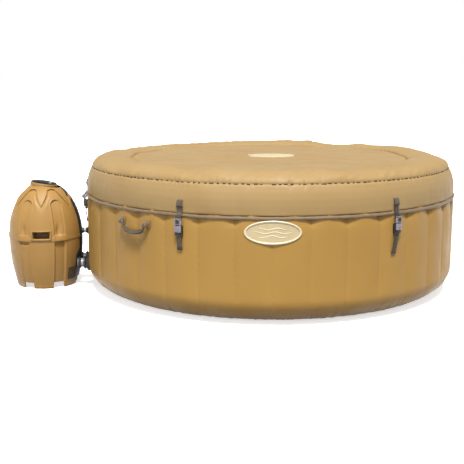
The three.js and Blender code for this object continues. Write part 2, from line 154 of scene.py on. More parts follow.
class Finish:
    """A Principled material with helpers for procedural detail in the object's own coordinates."""

    def __init__(self, name, color, roughness, metallic=0.0, coat=0.0, sheen=0.0, specular=0.5):
        self.material = bpy.data.materials.new(name)
        self.material.use_nodes = True
        self.tree = self.material.node_tree
        self.shader = self.tree.nodes["Principled BSDF"]
        self.color = linear(*color)
        inputs = self.shader.inputs
        inputs["Base Color"].default_value = self.color
        inputs["Roughness"].default_value = roughness
        inputs["Metallic"].default_value = metallic
        inputs["Coat Weight"].default_value = coat
        inputs["Coat Roughness"].default_value = 0.25
        inputs["Sheen Weight"].default_value = sheen
        inputs["Sheen Roughness"].default_value = 0.5
        inputs["Specular IOR Level"].default_value = specular
        self.coordinates = self.tree.nodes.new("ShaderNodeTexCoord").outputs["Object"]
        self.normal = None

    def link(self, output, socket):
        self.tree.links.new(output, socket)

    def scaled(self, stretch):
        mapping = self.tree.nodes.new("ShaderNodeMapping")
        mapping.inputs["Scale"].default_value = stretch
        self.link(self.coordinates, mapping.inputs["Vector"])
        return mapping.outputs["Vector"]

    def noise(self, scale, detail=3.0, roughness=0.55, stretch=(1, 1, 1)):
        node = self.tree.nodes.new("ShaderNodeTexNoise")
        node.inputs["Scale"].default_value = scale
        node.inputs["Detail"].default_value = detail
        node.inputs["Roughness"].default_value = roughness
        self.link(self.scaled(stretch), node.inputs["Vector"])
        return node.outputs["Fac"]

    def cells(self, scale, feature="F1"):
        node = self.tree.nodes.new("ShaderNodeTexVoronoi")
        node.feature = feature
        node.inputs["Scale"].default_value = scale
        self.link(self.coordinates, node.inputs["Vector"])
        return node.outputs["Distance"]

    def stripes(self, scale, direction, distortion=0.0):
        node = self.tree.nodes.new("ShaderNodeTexWave")
        node.bands_direction = direction
        node.inputs["Scale"].default_value = scale
        node.inputs["Distortion"].default_value = distortion
        self.link(self.coordinates, node.inputs["Vector"])
        return node.outputs["Fac"]

    def ramp(self, value, low, high, start=0.35, end=0.65):
        node = self.tree.nodes.new("ShaderNodeMapRange")
        node.inputs["From Min"].default_value = start
        node.inputs["From Max"].default_value = end
        node.inputs["To Min"].default_value = low
        node.inputs["To Max"].default_value = high
        self.link(value, node.inputs["Value"])
        return node.outputs["Result"]

    def height(self):
        """The object's own Z, in metres."""
        node = self.tree.nodes.new("ShaderNodeSeparateXYZ")
        self.link(self.coordinates, node.inputs["Vector"])
        return node.outputs["Z"]

    def tint(self, value, other, start=0.35, end=0.65):
        """Mixes the base colour so far towards another where the value is high."""
        node = self.tree.nodes.new("ShaderNodeMix")
        node.data_type = "RGBA"
        socket = self.shader.inputs["Base Color"]
        if socket.is_linked:
            self.link(socket.links[0].from_socket, node.inputs["A"])
        else:
            node.inputs["A"].default_value = self.color
        node.inputs["B"].default_value = linear(*other)
        self.link(self.ramp(value, 0, 1, start, end), node.inputs["Factor"])
        self.link(node.outputs["Result"], socket)

    def rough(self, value, low, high):
        self.link(self.ramp(value, low, high), self.shader.inputs["Roughness"])

    def bump(self, height, strength, distance):
        node = self.tree.nodes.new("ShaderNodeBump")
        node.inputs["Strength"].default_value = strength
        node.inputs["Distance"].default_value = distance
        self.link(height, node.inputs["Height"])
        if self.normal is not None:
            self.link(self.normal, node.inputs["Normal"])
        self.normal = node.outputs["Normal"]
        self.link(self.normal, self.shader.inputs["Normal"])


def wall_vinyl():
    """Laminated PVC of the tub's wall: satin, very finely pebbled, a little uneven, with painted shade
    darkening it towards the base.
    """
    finish = Finish("wall_vinyl", (164, 127, 63), 0.50, specular=0.28)
    finish.tint(finish.noise(2.2, 3), (159, 122, 60), 0.35, 0.80)
    # painted shade: the wall's colour darkens towards its base, from 8.5 cm down
    finish.tint(finish.height(), (74, 50, 20), 0.085, -0.02)
    finish.rough(finish.noise(9, 4), 0.46, 0.58)
    finish.bump(finish.noise(20, 3), 0.08, 0.0010)
    finish.bump(finish.cells(900), 0.12, 0.0002)
    return finish.material


def cover_vinyl():
    """Leather-grain coated fabric of the cover: matter and greyer than the wall."""
    finish = Finish("cover_vinyl", (157, 131, 88), 0.56, specular=0.28)
    finish.tint(finish.noise(3.1, 3), (153, 124, 78), 0.35, 0.80)
    finish.rough(finish.noise(12, 4), 0.50, 0.62)
    finish.bump(finish.noise(30, 4), 0.22, 0.0016)
    finish.bump(finish.cells(520, "SMOOTH_F1"), 0.20, 0.0003)
    return finish.material


def pale_liner():
    """Pale laminate of the inside of the pool and the inflated pad."""
    finish = Finish("pale_liner", (214, 205, 184), 0.38, coat=0.15)
    finish.tint(finish.noise(3, 4), (196, 186, 164), 0.42, 0.8)
    finish.bump(finish.noise(22, 4), 0.14, 0.0015)
    finish.bump(finish.cells(700), 0.10, 0.0002)
    return finish.material


def piping():
    """Coated welt round the hem of the cover."""
    finish = Finish("welt_piping", (118, 98, 72), 0.62, sheen=0.10)
    finish.tint(finish.noise(60, 4), (104, 86, 64), 0.45, 0.8)
    finish.bump(finish.noise(420, 3), 0.3, 0.0005)
    return finish.material


def webbing(name, color, worn):
    """Woven strap: fine ribs across, flecked yarn."""
    finish = Finish(name, color, 0.82, sheen=0.25, specular=0.3)
    finish.tint(finish.noise(900, 2), worn, 0.45, 0.70)
    finish.bump(finish.stripes(180, "Z"), 0.55, 0.0006)
    finish.bump(finish.noise(1500, 2), 0.35, 0.0003)
    return finish.material


def moulded(name, color, roughness, shade, coat=0.0, grain=900.0):
    """Injection-moulded plastic with a light spark-eroded grain."""
    finish = Finish(name, color, roughness, coat=coat)
    finish.tint(finish.noise(14, 4), shade, 0.45, 0.80)
    finish.rough(finish.noise(40, 3), roughness - 0.05, roughness + 0.07)
    finish.bump(finish.noise(grain, 2), 0.10, 0.0003)
    return finish.material


def casing_plastic():
    """The pump unit's casing: satin, with the mould's fine texture."""
    finish = Finish("casing_plastic", (160, 123, 66), 0.46, specular=0.35)
    finish.tint(finish.noise(5, 3), (151, 114, 60), 0.38, 0.82)
    finish.rough(finish.noise(30, 4), 0.42, 0.54)
    finish.bump(finish.noise(650, 3), 0.16, 0.0003)
    return finish.material


def glass_black():
    finish = Finish("panel_gloss", (17, 18, 21), 0.42, specular=0.12)
    finish.rough(finish.noise(25, 4), 0.38, 0.46)
    return finish.material


def brushed_metal():
    finish = Finish("brushed_metal", (176, 178, 180), 0.32, metallic=1.0)
    finish.bump(finish.noise(160, 3, stretch=(0.05, 1, 1)), 0.15, 0.0003)
    return finish.material


def filter_paper():
    finish = Finish("filter_paper", (236, 234, 226), 0.85, specular=0.2)
    finish.bump(finish.noise(300, 4), 0.4, 0.0005)
    return finish.material


WALL = wall_vinyl()
COVER = cover_vinyl()
LINER = pale_liner()
WELT = piping()
WEB_GREY = webbing("webbing_grey", (90, 79, 66), (66, 57, 48))
# a darker copy of the grey webbing, as painted shade: strap 4 on the shaded side, the folded ends and the
# turns under the sockets
WEB_PAINTED_SHADE = webbing("webbing_dark", (46, 38, 32), (70, 60, 50))
# dark thread of the stitching, and also painted shadow: the broken line along the edge of the cover's disc
THREAD_AND_SHADOW = moulded("dark_thread", (66, 44, 22), 0.85, (50, 34, 18))
SILVER = moulded("buckle_silver", (128, 121, 132), 0.32, (104, 97, 108), coat=0.2)
BLACK = moulded("black_plastic", (30, 29, 28), 0.45, (44, 42, 40))
# black rubber of the boots and flanges, and also painted shade: the undersides of the handle grips and the
# squares over the casing's vent holes
RUBBER_AND_SHADE = moulded("black_rubber", (24, 23, 22), 0.75, (36, 34, 32))
GREY = moulded("grey_plastic", (142, 143, 145), 0.34, (120, 121, 124), coat=0.15)
CREAM = moulded("badge_cream", (216, 205, 174), 0.35, (206, 194, 162), coat=0.3)
BADGE_FIELD = moulded("badge_field", (190, 172, 132), 0.38, (180, 162, 122), coat=0.3)
CASING = casing_plastic()
TAUPE = moulded("handle_taupe", (84, 70, 52), 0.55, (68, 56, 42))
POCKET = moulded("pocket_shadow", (104, 76, 38), 0.7, (86, 62, 30))
GLOSS = glass_black()
ICON = moulded("panel_print", (120, 124, 130), 0.5, (100, 104, 110))
METAL = brushed_metal()
PAPER = filter_paper()


# ---- mesh helpers ----
def add_mesh(name, vertices, faces, material, smooth=True):
    mesh = bpy.data.meshes.new(name)
    mesh.from_pydata([tuple(map(float, v)) for v in vertices], [], faces)
    mesh.materials.append(material)
    mesh.polygons.foreach_set("use_smooth", [smooth] * len(mesh.polygons))
    mesh.update()
    obj = bpy.data.objects.new(name, mesh)
    bpy.context.scene.collection.objects.link(obj)
    return obj


def grid_faces(rows, columns, wrap_rows=False, wrap_columns=False, first=0):
    """Quads of a rows by columns lattice of vertices; either way may close on itself."""
    faces = []
    for i in range(rows if wrap_rows else rows - 1):
        a = first + i * columns
        b = first + ((i + 1) % rows) * columns
        for j in range(columns if wrap_columns else columns - 1):
            k = (j + 1) % columns
            faces.append((a + j, b + j, b + k, a + k))
    return faces


def add_grid(name, points, material, wrap_rows=True, wrap_columns=False):
    rows, columns, _ = points.shape
    faces = grid_faces(rows, columns, wrap_rows, wrap_columns)
    return add_mesh(name, points.reshape(-1, 3), faces, material)


class Batch:
    """Several shapes that become one mesh."""

    def __init__(self):
        self.vertices = []
        self.faces = []

    def add(self, vertices, faces):
        first = len(self.vertices)
        self.vertices.extend(np.asarray(vertices, float).reshape(-1, 3))
        self.faces.extend(tuple(first + i for i in face) for face in faces)
        return self

    def build(self, name, material, smooth=True):
        return add_mesh(name, self.vertices, self.faces, material, smooth)


def attach(piece, body, slot, *nodes):
    """The piece rides a body and may stand for CAD nodes; the slot argument is not used."""
    if nodes:
        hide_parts(*nodes)
    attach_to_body(piece, body)


def at_station(points, degrees):
    """Station points (x along the wall, out, z) as points of the shared frame."""
    points = np.asarray(points, float)
    a = math.radians(degrees)
    x, out, z = points[..., 0], points[..., 1], points[..., 2]
    return np.stack([x * math.cos(a) + out * math.sin(a), x * math.sin(a) - out * math.cos(a), z], -1)


def in_pump(points):
    """Points of the pump unit's frame, +X towards the tub, as points of the shared frame."""
    points = np.asarray(points, float)
    c, s = math.cos(PUMP_TURN), math.sin(PUMP_TURN)
    x, y, z = points[..., 0], points[..., 1], points[..., 2]
    return np.stack([PUMP_AXIS[0] + c * x - s * y, PUMP_AXIS[1] + s * x + c * y, z], -1)


def polar(degrees, r, z):
    a = np.radians(degrees)
    r, z, a = np.broadcast_arrays(r, z, a)
    return np.stack([r * np.sin(a), -r * np.cos(a), z], -1)


def wrapped_deg(degrees, period):
    """An angle brought to within half a period of 0."""
    return (degrees + period / 2) % period - period / 2


def smoothstep(value, low, high):
    t = np.clip((value - low) / (high - low), 0, 1)
    return t * t * (3 - 2 * t)


def hump(value, centre, width):
    return np.exp(-(((value - centre) / width) ** 2))


def waves(degrees, seed, low, high, count=12):
    """A smooth random curve round the circle, about -1 to 1, made of whole waves."""
    rng = np.random.default_rng(seed)
    turns = rng.integers(low, high + 1, count)
    shifts = rng.uniform(0, 2 * math.pi, count)
    total = sum(np.cos(np.radians(degrees) * n + s) for n, s in zip(turns, shifts))
    return total / math.sqrt(count)


def resampled(outline, count, softness):
    """An outline's points spaced evenly along it, with its corners rounded off."""
    outline = np.asarray(outline, float)
    along = np.concatenate([[0], np.cumsum(np.hypot(*np.diff(outline, axis=0).T))])
    fine = np.linspace(0, along[-1], 1500)
    line = np.stack([np.interp(fine, along, outline[:, k]) for k in (0, 1)], -1)
    step = fine[1]
    reach = int(3 * softness / step) + 1
    kernel = np.exp(-((np.arange(-reach, reach + 1) * step / softness) ** 2))
    kernel /= kernel.sum()
    padded = np.pad(line, ((reach, reach), (0, 0)), mode="reflect", reflect_type="odd")
    line = np.stack([np.convolve(padded[:, k], kernel, "valid") for k in (0, 1)], -1)
    keep = np.linspace(0, len(fine) - 1, count)
    return np.stack([np.interp(keep, np.arange(len(fine)), line[:, k]) for k in (0, 1)], -1)


def outward(outline):
    """Unit normals of an outline that runs up its outer side, pointing out."""
    slope = np.gradient(outline, axis=0)
    normal = np.stack([slope[:, 1], -slope[:, 0]], -1)
    return normal / np.linalg.norm(normal, axis=1, keepdims=True)


def rounded_section(width, height, corner, steps=3):
    """A rectangle with rounded corners, as points of (side, up)."""
    points = []
    for k, (sx, sy) in enumerate([(1, 1), (-1, 1), (-1, -1), (1, -1)]):
        for i in range(steps + 1):
            a = math.radians(90 * k + 90 * i / steps)
            x = sx * (width / 2 - corner) + corner * math.cos(a)
            y = sy * (height / 2 - corner) + corner * math.sin(a)
            points.append((x, y))
    return points


def oval_section(width, height, steps=14):
    turn = [2 * math.pi * i / steps for i in range(steps)]
    return [(width / 2 * math.cos(a), height / 2 * math.sin(a)) for a in turn]


def sweep(path, section, side=None, closed=False, scale=None):
    """Vertices and faces of a section carried along a path, capped unless it closes on itself.

    side fixes the section's first axis; otherwise it turns with the path as little as it can."""
    path = np.asarray(path, float)
    count = len(path)
    if closed:
        tangents = np.roll(path, -1, 0) - np.roll(path, 1, 0)
    else:
        tangents = np.gradient(path, axis=0)
    tangents /= np.linalg.norm(tangents, axis=1, keepdims=True)
    sides = []
    last = np.asarray(side if side is not None else (0.0, 0.0, 1.0), float)
    if side is None and abs(tangents[0] @ last) > 0.9:
        last = np.array([1.0, 0.0, 0.0])
    for tangent in tangents:
        reference = np.asarray(side, float) if side is not None else last
        across = reference - tangent * (reference @ tangent)
        across /= np.linalg.norm(across)
        sides.append(across)
        last = across
    sides = np.array(sides)
    ups = np.cross(tangents, sides)
    section = np.asarray(section, float)
    sizes = np.ones(count) if scale is None else np.asarray(scale, float)
    rings = (
        path[:, None, :]
        + sides[:, None, :] * section[None, :, :1] * sizes[:, None, None]
        + ups[:, None, :] * section[None, :, 1:] * sizes[:, None, None]
    )
    faces = grid_faces(count, len(section), closed, True)
    if not closed:
        faces.append(tuple(range(len(section))))
        faces.append(tuple(reversed(range((count - 1) * len(section), count * len(section)))))
    return rings.reshape(-1, 3), faces


def curve_through(points, count):
    """A smooth line through chosen points (Catmull-Rom)."""
    points = np.asarray(points, float)
    ends = np.vstack([2 * points[0] - points[1], points, 2 * points[-1] - points[-2]])
    out = []
    for t in np.linspace(0, len(points) - 1 - 1e-9, count):
        i = int(t)
        u = t - i
        a, b, c, d = ends[i : i + 4]
        square = (2 * a - 5 * b + 4 * c - d) * u**2
        cube = (3 * b - a - 3 * c + d) * u**3
        out.append(0.5 * (2 * b + (c - a) * u + square + cube))
    return np.array(out)


def block(size, centre, corner=0.002):
    """A box with rounded upright edges and softened ends, as vertices and faces, in (x, y, z)."""
    width, depth, height = size
    section = np.array(rounded_section(width, depth, min(corner, width / 2.01, depth / 2.01)))
    soft = min(corner, height / 3)
    cap, edge = 1 - 2 * soft / min(width, depth), 1 - 0.6 * soft / width
    lower = [(-height / 2, cap), (-height / 2 + soft * 0.3, edge), (-height / 2 + soft, 1.0)]
    levels = lower + [(-z, shrink) for z, shrink in reversed(lower)]
    vertices = []
    for z, shrink in levels:
        for x, y in section:
            vertices.append((centre[0] + x * shrink, centre[1] + y * shrink, centre[2] + z))
    count = len(section)
    faces = grid_faces(len(levels), count, False, True)
    faces = [tuple(reversed(f)) for f in faces]
    faces.append(tuple(reversed(range(count))))
    faces.append(tuple(range((len(levels) - 1) * count, len(levels) * count)))
    return np.array(vertices), faces


def lathe(profile, steps=48):
    """A body of revolution about Z from [radius, height] points; ends on the axis are closed."""
    profile = np.asarray(profile, float)
    turn = np.linspace(0, 2 * math.pi, steps, endpoint=False)
    rings = np.stack(
        [
            profile[None, :, 0] * np.cos(turn)[:, None],
            profile[None, :, 0] * np.sin(turn)[:, None],
            np.broadcast_to(profile[None, :, 1], (steps, len(profile))),
        ],
        -1,
    )
    return rings.reshape(-1, 3), grid_faces(steps, len(profile), True, False)


def bevelled(profile, soft):
    """A lathe or sweep outline with each inner corner cut twice, so that its edges catch the light."""
    points = [np.asarray(p, float) for p in profile]
    out = [points[0]]
    for before, here, after in zip(points, points[1:], points[2:]):
        back = before - here
        on = after - here
        r = min(soft, np.linalg.norm(back) * 0.45, np.linalg.norm(on) * 0.45)
        start = here + back / max(np.linalg.norm(back), 1e-9) * r
        end = here + on / max(np.linalg.norm(on), 1e-9) * r
        out += [start, (start + 2 * here + end) / 4, end]
    out.append(points[-1])
    return out


def along_x(vertices, origin):
    """Turns shapes drawn along Z so that Z becomes +X, and puts them at an origin."""
    v = np.asarray(vertices, float)
    return np.stack([v[:, 2], v[:, 0], v[:, 1]], -1) + np.asarray(origin, float)


def standing_out(vertices, x, out, z):
    """Turns shapes drawn along Z so that Z points out of the wall at a station."""
    v = np.asarray(vertices, float)
    return np.stack([v[:, 0] + x, v[:, 2] + out, -v[:, 1] + z], -1)


# ---- tub wall ----
def wall_outline():
    """The wall's section from under the base, up the outside, over the rounded top and down to the pool."""
    points = [(POOL_R + 0.006, 0.0)]
    for t in np.linspace(0, math.pi / 2, 14):
        reach = WALL_R - WALL_CORNER_R + WALL_CORNER_R * math.sin(t)
        points.append((reach, WALL_CORNER_H * (1 - math.cos(t))))
    points.append((WALL_R, 0.44))
    middle = (WALL_R + POOL_R) / 2
    for t in np.linspace(0, math.pi, 24):
        half = WALL_R - 0.004 - middle if t < math.pi / 2 else middle - POOL_R - 0.0005
        points.append((middle + half * math.cos(t), WALL_TOP - WALL_SHOULDER + WALL_SHOULDER * math.sin(t)))
    return resampled(points, 210, 0.006)


def panel_angles(per_panel=22):
    """Angles round the tub, closer together at the panel seams."""
    across = np.sin(np.linspace(-math.pi / 2, math.pi / 2, per_panel + 1)[:-1]) / 2 + 0.5
    return (np.arange(PANELS)[:, None] + across[None, :]).ravel() * PANEL_DEG


def build_wall():
    outline = wall_outline()
    normals = outward(outline)
    degrees = panel_angles()[:, None]
    r, z = outline[:, 0][None, :], outline[:, 1][None, :]
    across = 2 * ((degrees / PANEL_DEG) % 1) - 1
    panel = np.floor(degrees / PANEL_DEG + 0.001)
    outside = smoothstep(r, 0.80, 0.86) * (1 - smoothstep(z, 0.56, 0.66)) * (r > (WALL_R + POOL_R) / 2)

    valley = 0.0012 + 0.0046 * smoothstep(z, 0.02, 0.22) + 0.004 * smoothstep(z, 0.38, 0.5)
    depth = valley * np.abs(across) ** 2.2
    near_seam = np.exp(-(((1 - np.abs(across)) / 0.09) ** 2))
    depth += 0.0006 * near_seam * smoothstep(z, 0.03, 0.15) * (1 - smoothstep(z, 0.40, 0.46))
    # under the welt the panels round in towards each seam
    depth += 0.0150 * np.abs(across) ** 2.6 * smoothstep(z, 0.445, 0.512)
    depth += 0.0060 * smoothstep(z, 0.485, 0.530)
    pucker = np.cos(2 * math.pi * z / 0.034 + panel * 1.7) * np.exp(-(((1 - np.abs(across)) / 0.16) ** 2))
    depth += 0.0005 * pucker * (0.6 + 0.4 * np.sin(z * 21 + panel))
    # the base and the top, where the fabric is gathered into its rings
    gather = (1 - smoothstep(z, 0.03, 0.17)) * smoothstep(r, 0.80, 0.90)
    depth += 0.0011 * gather * waves(degrees, 3, 90, 240)
    under_welt = smoothstep(z, 0.455, 0.497)
    depth += 0.0012 * under_welt * waves(degrees, 4, 60, 170)
    depth += 0.0009 * waves(degrees, 5, 5, 40) * np.cos(3 * z + 1)
    depth = depth * outside

    top = smoothstep(z, 0.60, WALL_TOP)
    depth = depth + 0.0022 * top * waves(degrees, 6, 30, 110)
    reach = r - depth * normals[None, :, 0]
    height = z - depth * normals[None, :, 1]
    height = np.maximum(height, 0.0)
    wall = add_grid("tub_wall", polar(degrees, reach, height), WALL)
    attach(wall, "tub", "pvc", "wall_outer_skin")


def build_pool():
    """The pool's inner wall with its quilted welds, and the floor pad with its dimples."""
    degrees = np.arange(0, 360, 0.8)[:, None]
    z = np.linspace(0.004, WALL_TOP - WALL_SHOULDER, 90)[None, :]
    across = np.abs(2 * ((degrees / PANEL_DEG) % 1) - 1)
    bulge = 0.004 * (1 - across**2.4) * smoothstep(z, 0.05, 0.12) * (1 - smoothstep(z, 0.46, 0.528))
    pool = add_grid("pool_wall", polar(degrees, POOL_R - bulge, z), LINER)
    attach(pool, "tub", "liner", "wall_inner_skin")

    r = np.concatenate([[0.001], np.linspace(0.02, POOL_R - 0.004, 110)])[None, :]
    x, y = r * np.sin(np.radians(degrees)), -r * np.cos(np.radians(degrees))
    pitch = 0.11
    u = x / pitch
    v = (y + 0.5 * pitch * (np.floor(u) % 2)) / pitch
    dimple = np.exp(-(((u % 1 - 0.5) ** 2 + (v % 1 - 0.5) ** 2) / 0.03))
    rim = smoothstep(r, POOL_R - 0.05, POOL_R - 0.004)
    height = FLOOR_TOP + 0.012 - 0.009 * dimple - 0.010 * rim
    pad = add_grid("pool_floor", polar(degrees, np.broadcast_to(r, height.shape), height), LINER)
    attach(pad, "tub", "liner", "floor_pad")
    frame["nodes"]["jet_ring"].data.materials[0] = WALL


def build_jet_holes():
    holes = Batch()
    inner = POOL_R - 0.036
    for k in range(JETS):
        v, f = lathe([(0.0001, 0.0), (0.0025, 0.0), (0.0032, 0.0007), (0.0001, 0.0007)], 10)
        hole = np.stack([v[:, 0], inner - v[:, 2] + 0.0003, v[:, 1] + 0.022], -1)
        holes.add(at_station(hole, 360 / JETS * k), [tuple(reversed(face)) for face in f])
    dots = holes.build("jet_holes", BLACK)
    attach(dots, "tub", "black")


# ---- cover ----
def cover_outline():
    """From the turned-in hem, up the skirt to the seam, over the crown ring and across the middle disc."""
    hem_r = COVER_R
    points = [
        (hem_r - 0.0075, WELT_HIGH + 0.045),
        (hem_r - 0.0065, WELT_HIGH + 0.002),
        (hem_r - 0.001, WELT_HIGH - 0.001),
        (hem_r + 0.002, WELT_HIGH + 0.004),
        (hem_r + 0.002, 0.545),
        (hem_r - 0.001, 0.575),
        (hem_r - 0.009, 0.606),
        (SEAM_R + 0.0065, SEAM_Z - 0.011),
        (SEAM_R, SEAM_Z),
    ]
    for t in np.linspace(0.12, math.pi / 2, 8):
        reach = CROWN_R + (SEAM_R - CROWN_R) * math.cos(t)
        points.append((reach, SEAM_Z + (CROWN_Z - SEAM_Z) * math.sin(t)))
    points += [
        (0.800, CROWN_Z - 0.0015),
        (0.770, CROWN_Z - 0.0055),
        (DISC_R + 0.012, DISC_Z + 0.0065),
        (DISC_R, DISC_Z - 0.003),
        (DISC_R - 0.012, DISC_Z + 0.003),
        (0.66, DISC_Z + 0.005),
        (0.40, DISC_Z + 0.003),
        (0.15, DISC_Z + 0.0015),
        (0.0005, DISC_Z + 0.001),
    ]
    return resampled(points, 1200, 0.0045)


COVER_LINE = cover_outline()
COVER_NORMAL = outward(COVER_LINE)
COVER_ALONG = np.concatenate([[0], np.cumsum(np.hypot(*np.diff(COVER_LINE, axis=0).T))])
SEAM_S = COVER_ALONG[np.argmin(np.hypot(COVER_LINE[:, 0] - SEAM_R, COVER_LINE[:, 1] - SEAM_Z))]
HEM_S = COVER_ALONG[np.argmin(np.hypot(COVER_LINE[:, 0] - COVER_R, COVER_LINE[:, 1] - WELT_HIGH))]
DISC_S = COVER_ALONG[np.argmin(np.abs(COVER_LINE[:, 0] - DISC_R) + 10 * (COVER_LINE[:, 1] < 0.65))]


def puckers(seed, spacing, degrees, s):
    """Short ridges that run away from the gathered seam, each with its own length and strength."""
    rng = np.random.default_rng(seed)
    count = int(360 / spacing)
    total = np.zeros(np.broadcast_shapes(degrees.shape, s.shape))
    row = degrees[:, 0]
    for k in range(count):
        centre = (k + rng.uniform(-0.32, 0.32)) * spacing
        width = spacing * rng.uniform(0.16, 0.34)
        strength = rng.gamma(2.2, 0.45)
        up = rng.uniform(0.012, 0.040) * (1 + (rng.random() < 0.12) * 1.6)
        down = rng.uniform(0.006, 0.020)
        lean = rng.uniform(-9, 9)
        offset = wrapped_deg(row - centre, 360)
        near = np.abs(offset) < 6 * width
        if not near.any():
            continue
        rise = s - SEAM_S
        slanted = offset[near][:, None] - lean * rise
        fade = np.where(rise > 0, np.exp(-np.abs(rise) / up), np.exp(-np.abs(rise) / down))
        total[near] += strength * np.exp(-((slanted / width) ** 2)) * fade
    return total


def cover_relief(degrees, s):
    """How far the cover's fabric stands out of its smooth outline."""
    rise = s - SEAM_S
    side = 0.75 + 0.30 * waves(degrees, 21, 1, 5, 5) + 0.35 * hump(wrapped_deg(degrees - 42, 360), 0, 34)
    relief = -0.0022 * hump(rise, 0, 0.0045)
    relief = relief - 0.0027 * side * puckers(22, 1.45, degrees, s) * (1 - 0.6 * hump(rise, 0, 0.002))
    # the skirt hangs in shallow upright folds
    skirt = smoothstep(s, HEM_S, HEM_S + 0.02) * (1 - smoothstep(rise, -0.03, 0))
    relief += 0.0008 * skirt * waves(degrees + 12 * rise, 23, 9, 40, 16)
    relief += 0.0003 * skirt * waves(degrees, 24, 60, 150, 16)
    # the crown ring: soft swells and creases that cross it at a slant
    ring = smoothstep(rise, 0, 0.04) * (1 - smoothstep(s, DISC_S - 0.03, DISC_S))
    relief += 0.0026 * ring * waves(degrees + 40 * rise, 25, 7, 34, 14)
    relief += 0.0011 * ring * waves(degrees - 60 * rise, 26, 40, 110, 14)
    # the edge of the disc, gathered like the seam but finer
    edge = hump(s, DISC_S, 0.028)
    relief -= 0.0065 * hump(s, DISC_S, 0.0060)
    relief -= 0.0016 * edge * (1 + waves(degrees, 27, 90, 190, 12))
    # the disc lies slack over the pad
    disc = smoothstep(s, DISC_S, DISC_S + 0.05)
    slack = np.clip((COVER_ALONG[-1] - s) / 0.3, 0, 1)
    relief += 0.0022 * disc * slack * waves(degrees + 25 * s, 28, 3, 14, 10)
    relief += 0.0010 * disc * slack * waves(degrees - 40 * s, 29, 18, 50, 12)
    return relief


def cover_points(degrees, s):
    """Points of the finished cover at angles round the tub and distances along its outline."""
    shape = np.broadcast_shapes(degrees.shape, s.shape)
    flat = np.broadcast_to(s, shape)
    r, z, out_r, out_z = (
        np.interp(flat, COVER_ALONG, values)
        for values in (COVER_LINE[:, 0], COVER_LINE[:, 1], COVER_NORMAL[:, 0], COVER_NORMAL[:, 1])
    )
    relief = cover_relief(degrees, s) * smoothstep(flat, HEM_S - 0.004, HEM_S + 0.012)
    crown = smoothstep(flat, SEAM_S, SEAM_S + 0.09)
    rim = 0.0042 * waves(degrees, 31, 2, 7, 6) + 0.0022 * waves(degrees, 32, 9, 22, 8)
    dent = -0.005 * hump(wrapped_deg(degrees - 152, 360), 0, 4.5) + 0.006 * hump((degrees - 161) % 360, 0, 5)
    edge = 1 - smoothstep(flat, DISC_S - 0.05, DISC_S + 0.1)
    z = z + crown * edge * (rim + dent)
    return polar(degrees, r + relief * out_r, z + relief * out_z)


def build_cover():
    degrees = np.arange(0, 360, 0.25)[:, None]
    parts = [
        np.linspace(0, HEM_S, 8, endpoint=False),
        np.linspace(HEM_S, SEAM_S - 0.03, 16, endpoint=False),
        np.linspace(SEAM_S - 0.03, SEAM_S + 0.045, 44, endpoint=False),
        np.linspace(SEAM_S + 0.045, DISC_S - 0.03, 16, endpoint=False),
        np.linspace(DISC_S - 0.03, DISC_S + 0.03, 16, endpoint=False),
        np.linspace(DISC_S + 0.03, COVER_ALONG[-1], 26),
    ]
    s = np.concatenate(parts)[None, :]
    cover = add_grid("cover_fabric", cover_points(degrees, s), COVER)
    attach(cover, "cover", "lid", "cover_shell")


def build_stitches():
    """Dark thread that shows in the seam between the gathers, as uneven short dashes."""
    rng = np.random.default_rng(41)
    thread_and_shadow_dashes = Batch()
    pitch = 1.7
    for k in range(int(360 / pitch)):
        centre = (k + rng.uniform(-0.14, 0.14)) * pitch
        half = pitch * rng.uniform(0.10, 0.40)
        degrees = np.linspace(centre - half, centre + half, 5)[:, None]
        s = np.array([[SEAM_S + rng.uniform(-0.0012, 0.0012)]])
        path = cover_points(degrees, s)[:, 0, :]
        thick = rng.uniform(0.0036, 0.0080)
        thread_and_shadow_dashes.add(*sweep(path, oval_section(thick, 0.0040, 6), side=(0, 0, 1)))
    # the disc's welded edge, drawn as a broken line of painted shadow
    for k in range(90):
        centre = (k + rng.uniform(-0.2, 0.2)) * 4
        half = rng.uniform(0.7, 2.1)
        degrees = np.linspace(centre - half, centre + half, 9)[:, None]
        path = cover_points(degrees, np.array([[DISC_S + rng.uniform(-0.002, 0.002)]]))[:, 0, :]
        thread_and_shadow_dashes.add(*sweep(path, oval_section(rng.uniform(0.0022, 0.0036), 0.0026, 6), side=(0, 0, 1)))
    thread = thread_and_shadow_dashes.build("seam_thread", THREAD_AND_SHADOW)
    attach(thread, "cover", "webbing")


def build_welt():
    degrees = np.arange(0, 360, 0.5)
    middle = (WELT_LOW + WELT_HIGH) / 2
    height = middle + 0.0009 * waves(degrees, 51, 4, 18)
    r = WELT_R - 0.0075 + 0.0012 * waves(degrees, 52, 5, 30)
    path = polar(degrees, r, height)
    around = np.linspace(0, 2 * math.pi, 14, endpoint=False)
    radial = path[:, None, :2] / np.linalg.norm(path[:, None, :2], axis=-1, keepdims=True)
    tube_r = 0.0072 + 0.0004 * waves(degrees, 53, 60, 140)
    points = np.empty((len(degrees), len(around), 3))
    points[..., :2] = path[:, None, :2] + radial * (tube_r[:, None] * np.cos(around))[..., None]
    points[..., 2] = path[:, None, 2] + tube_r[:, None] * 1.08 * np.sin(around)
    welt = add_grid("hem_welt", points, WELT, wrap_columns=True)
    attach(welt, "cover", "welt", "cover_welt")


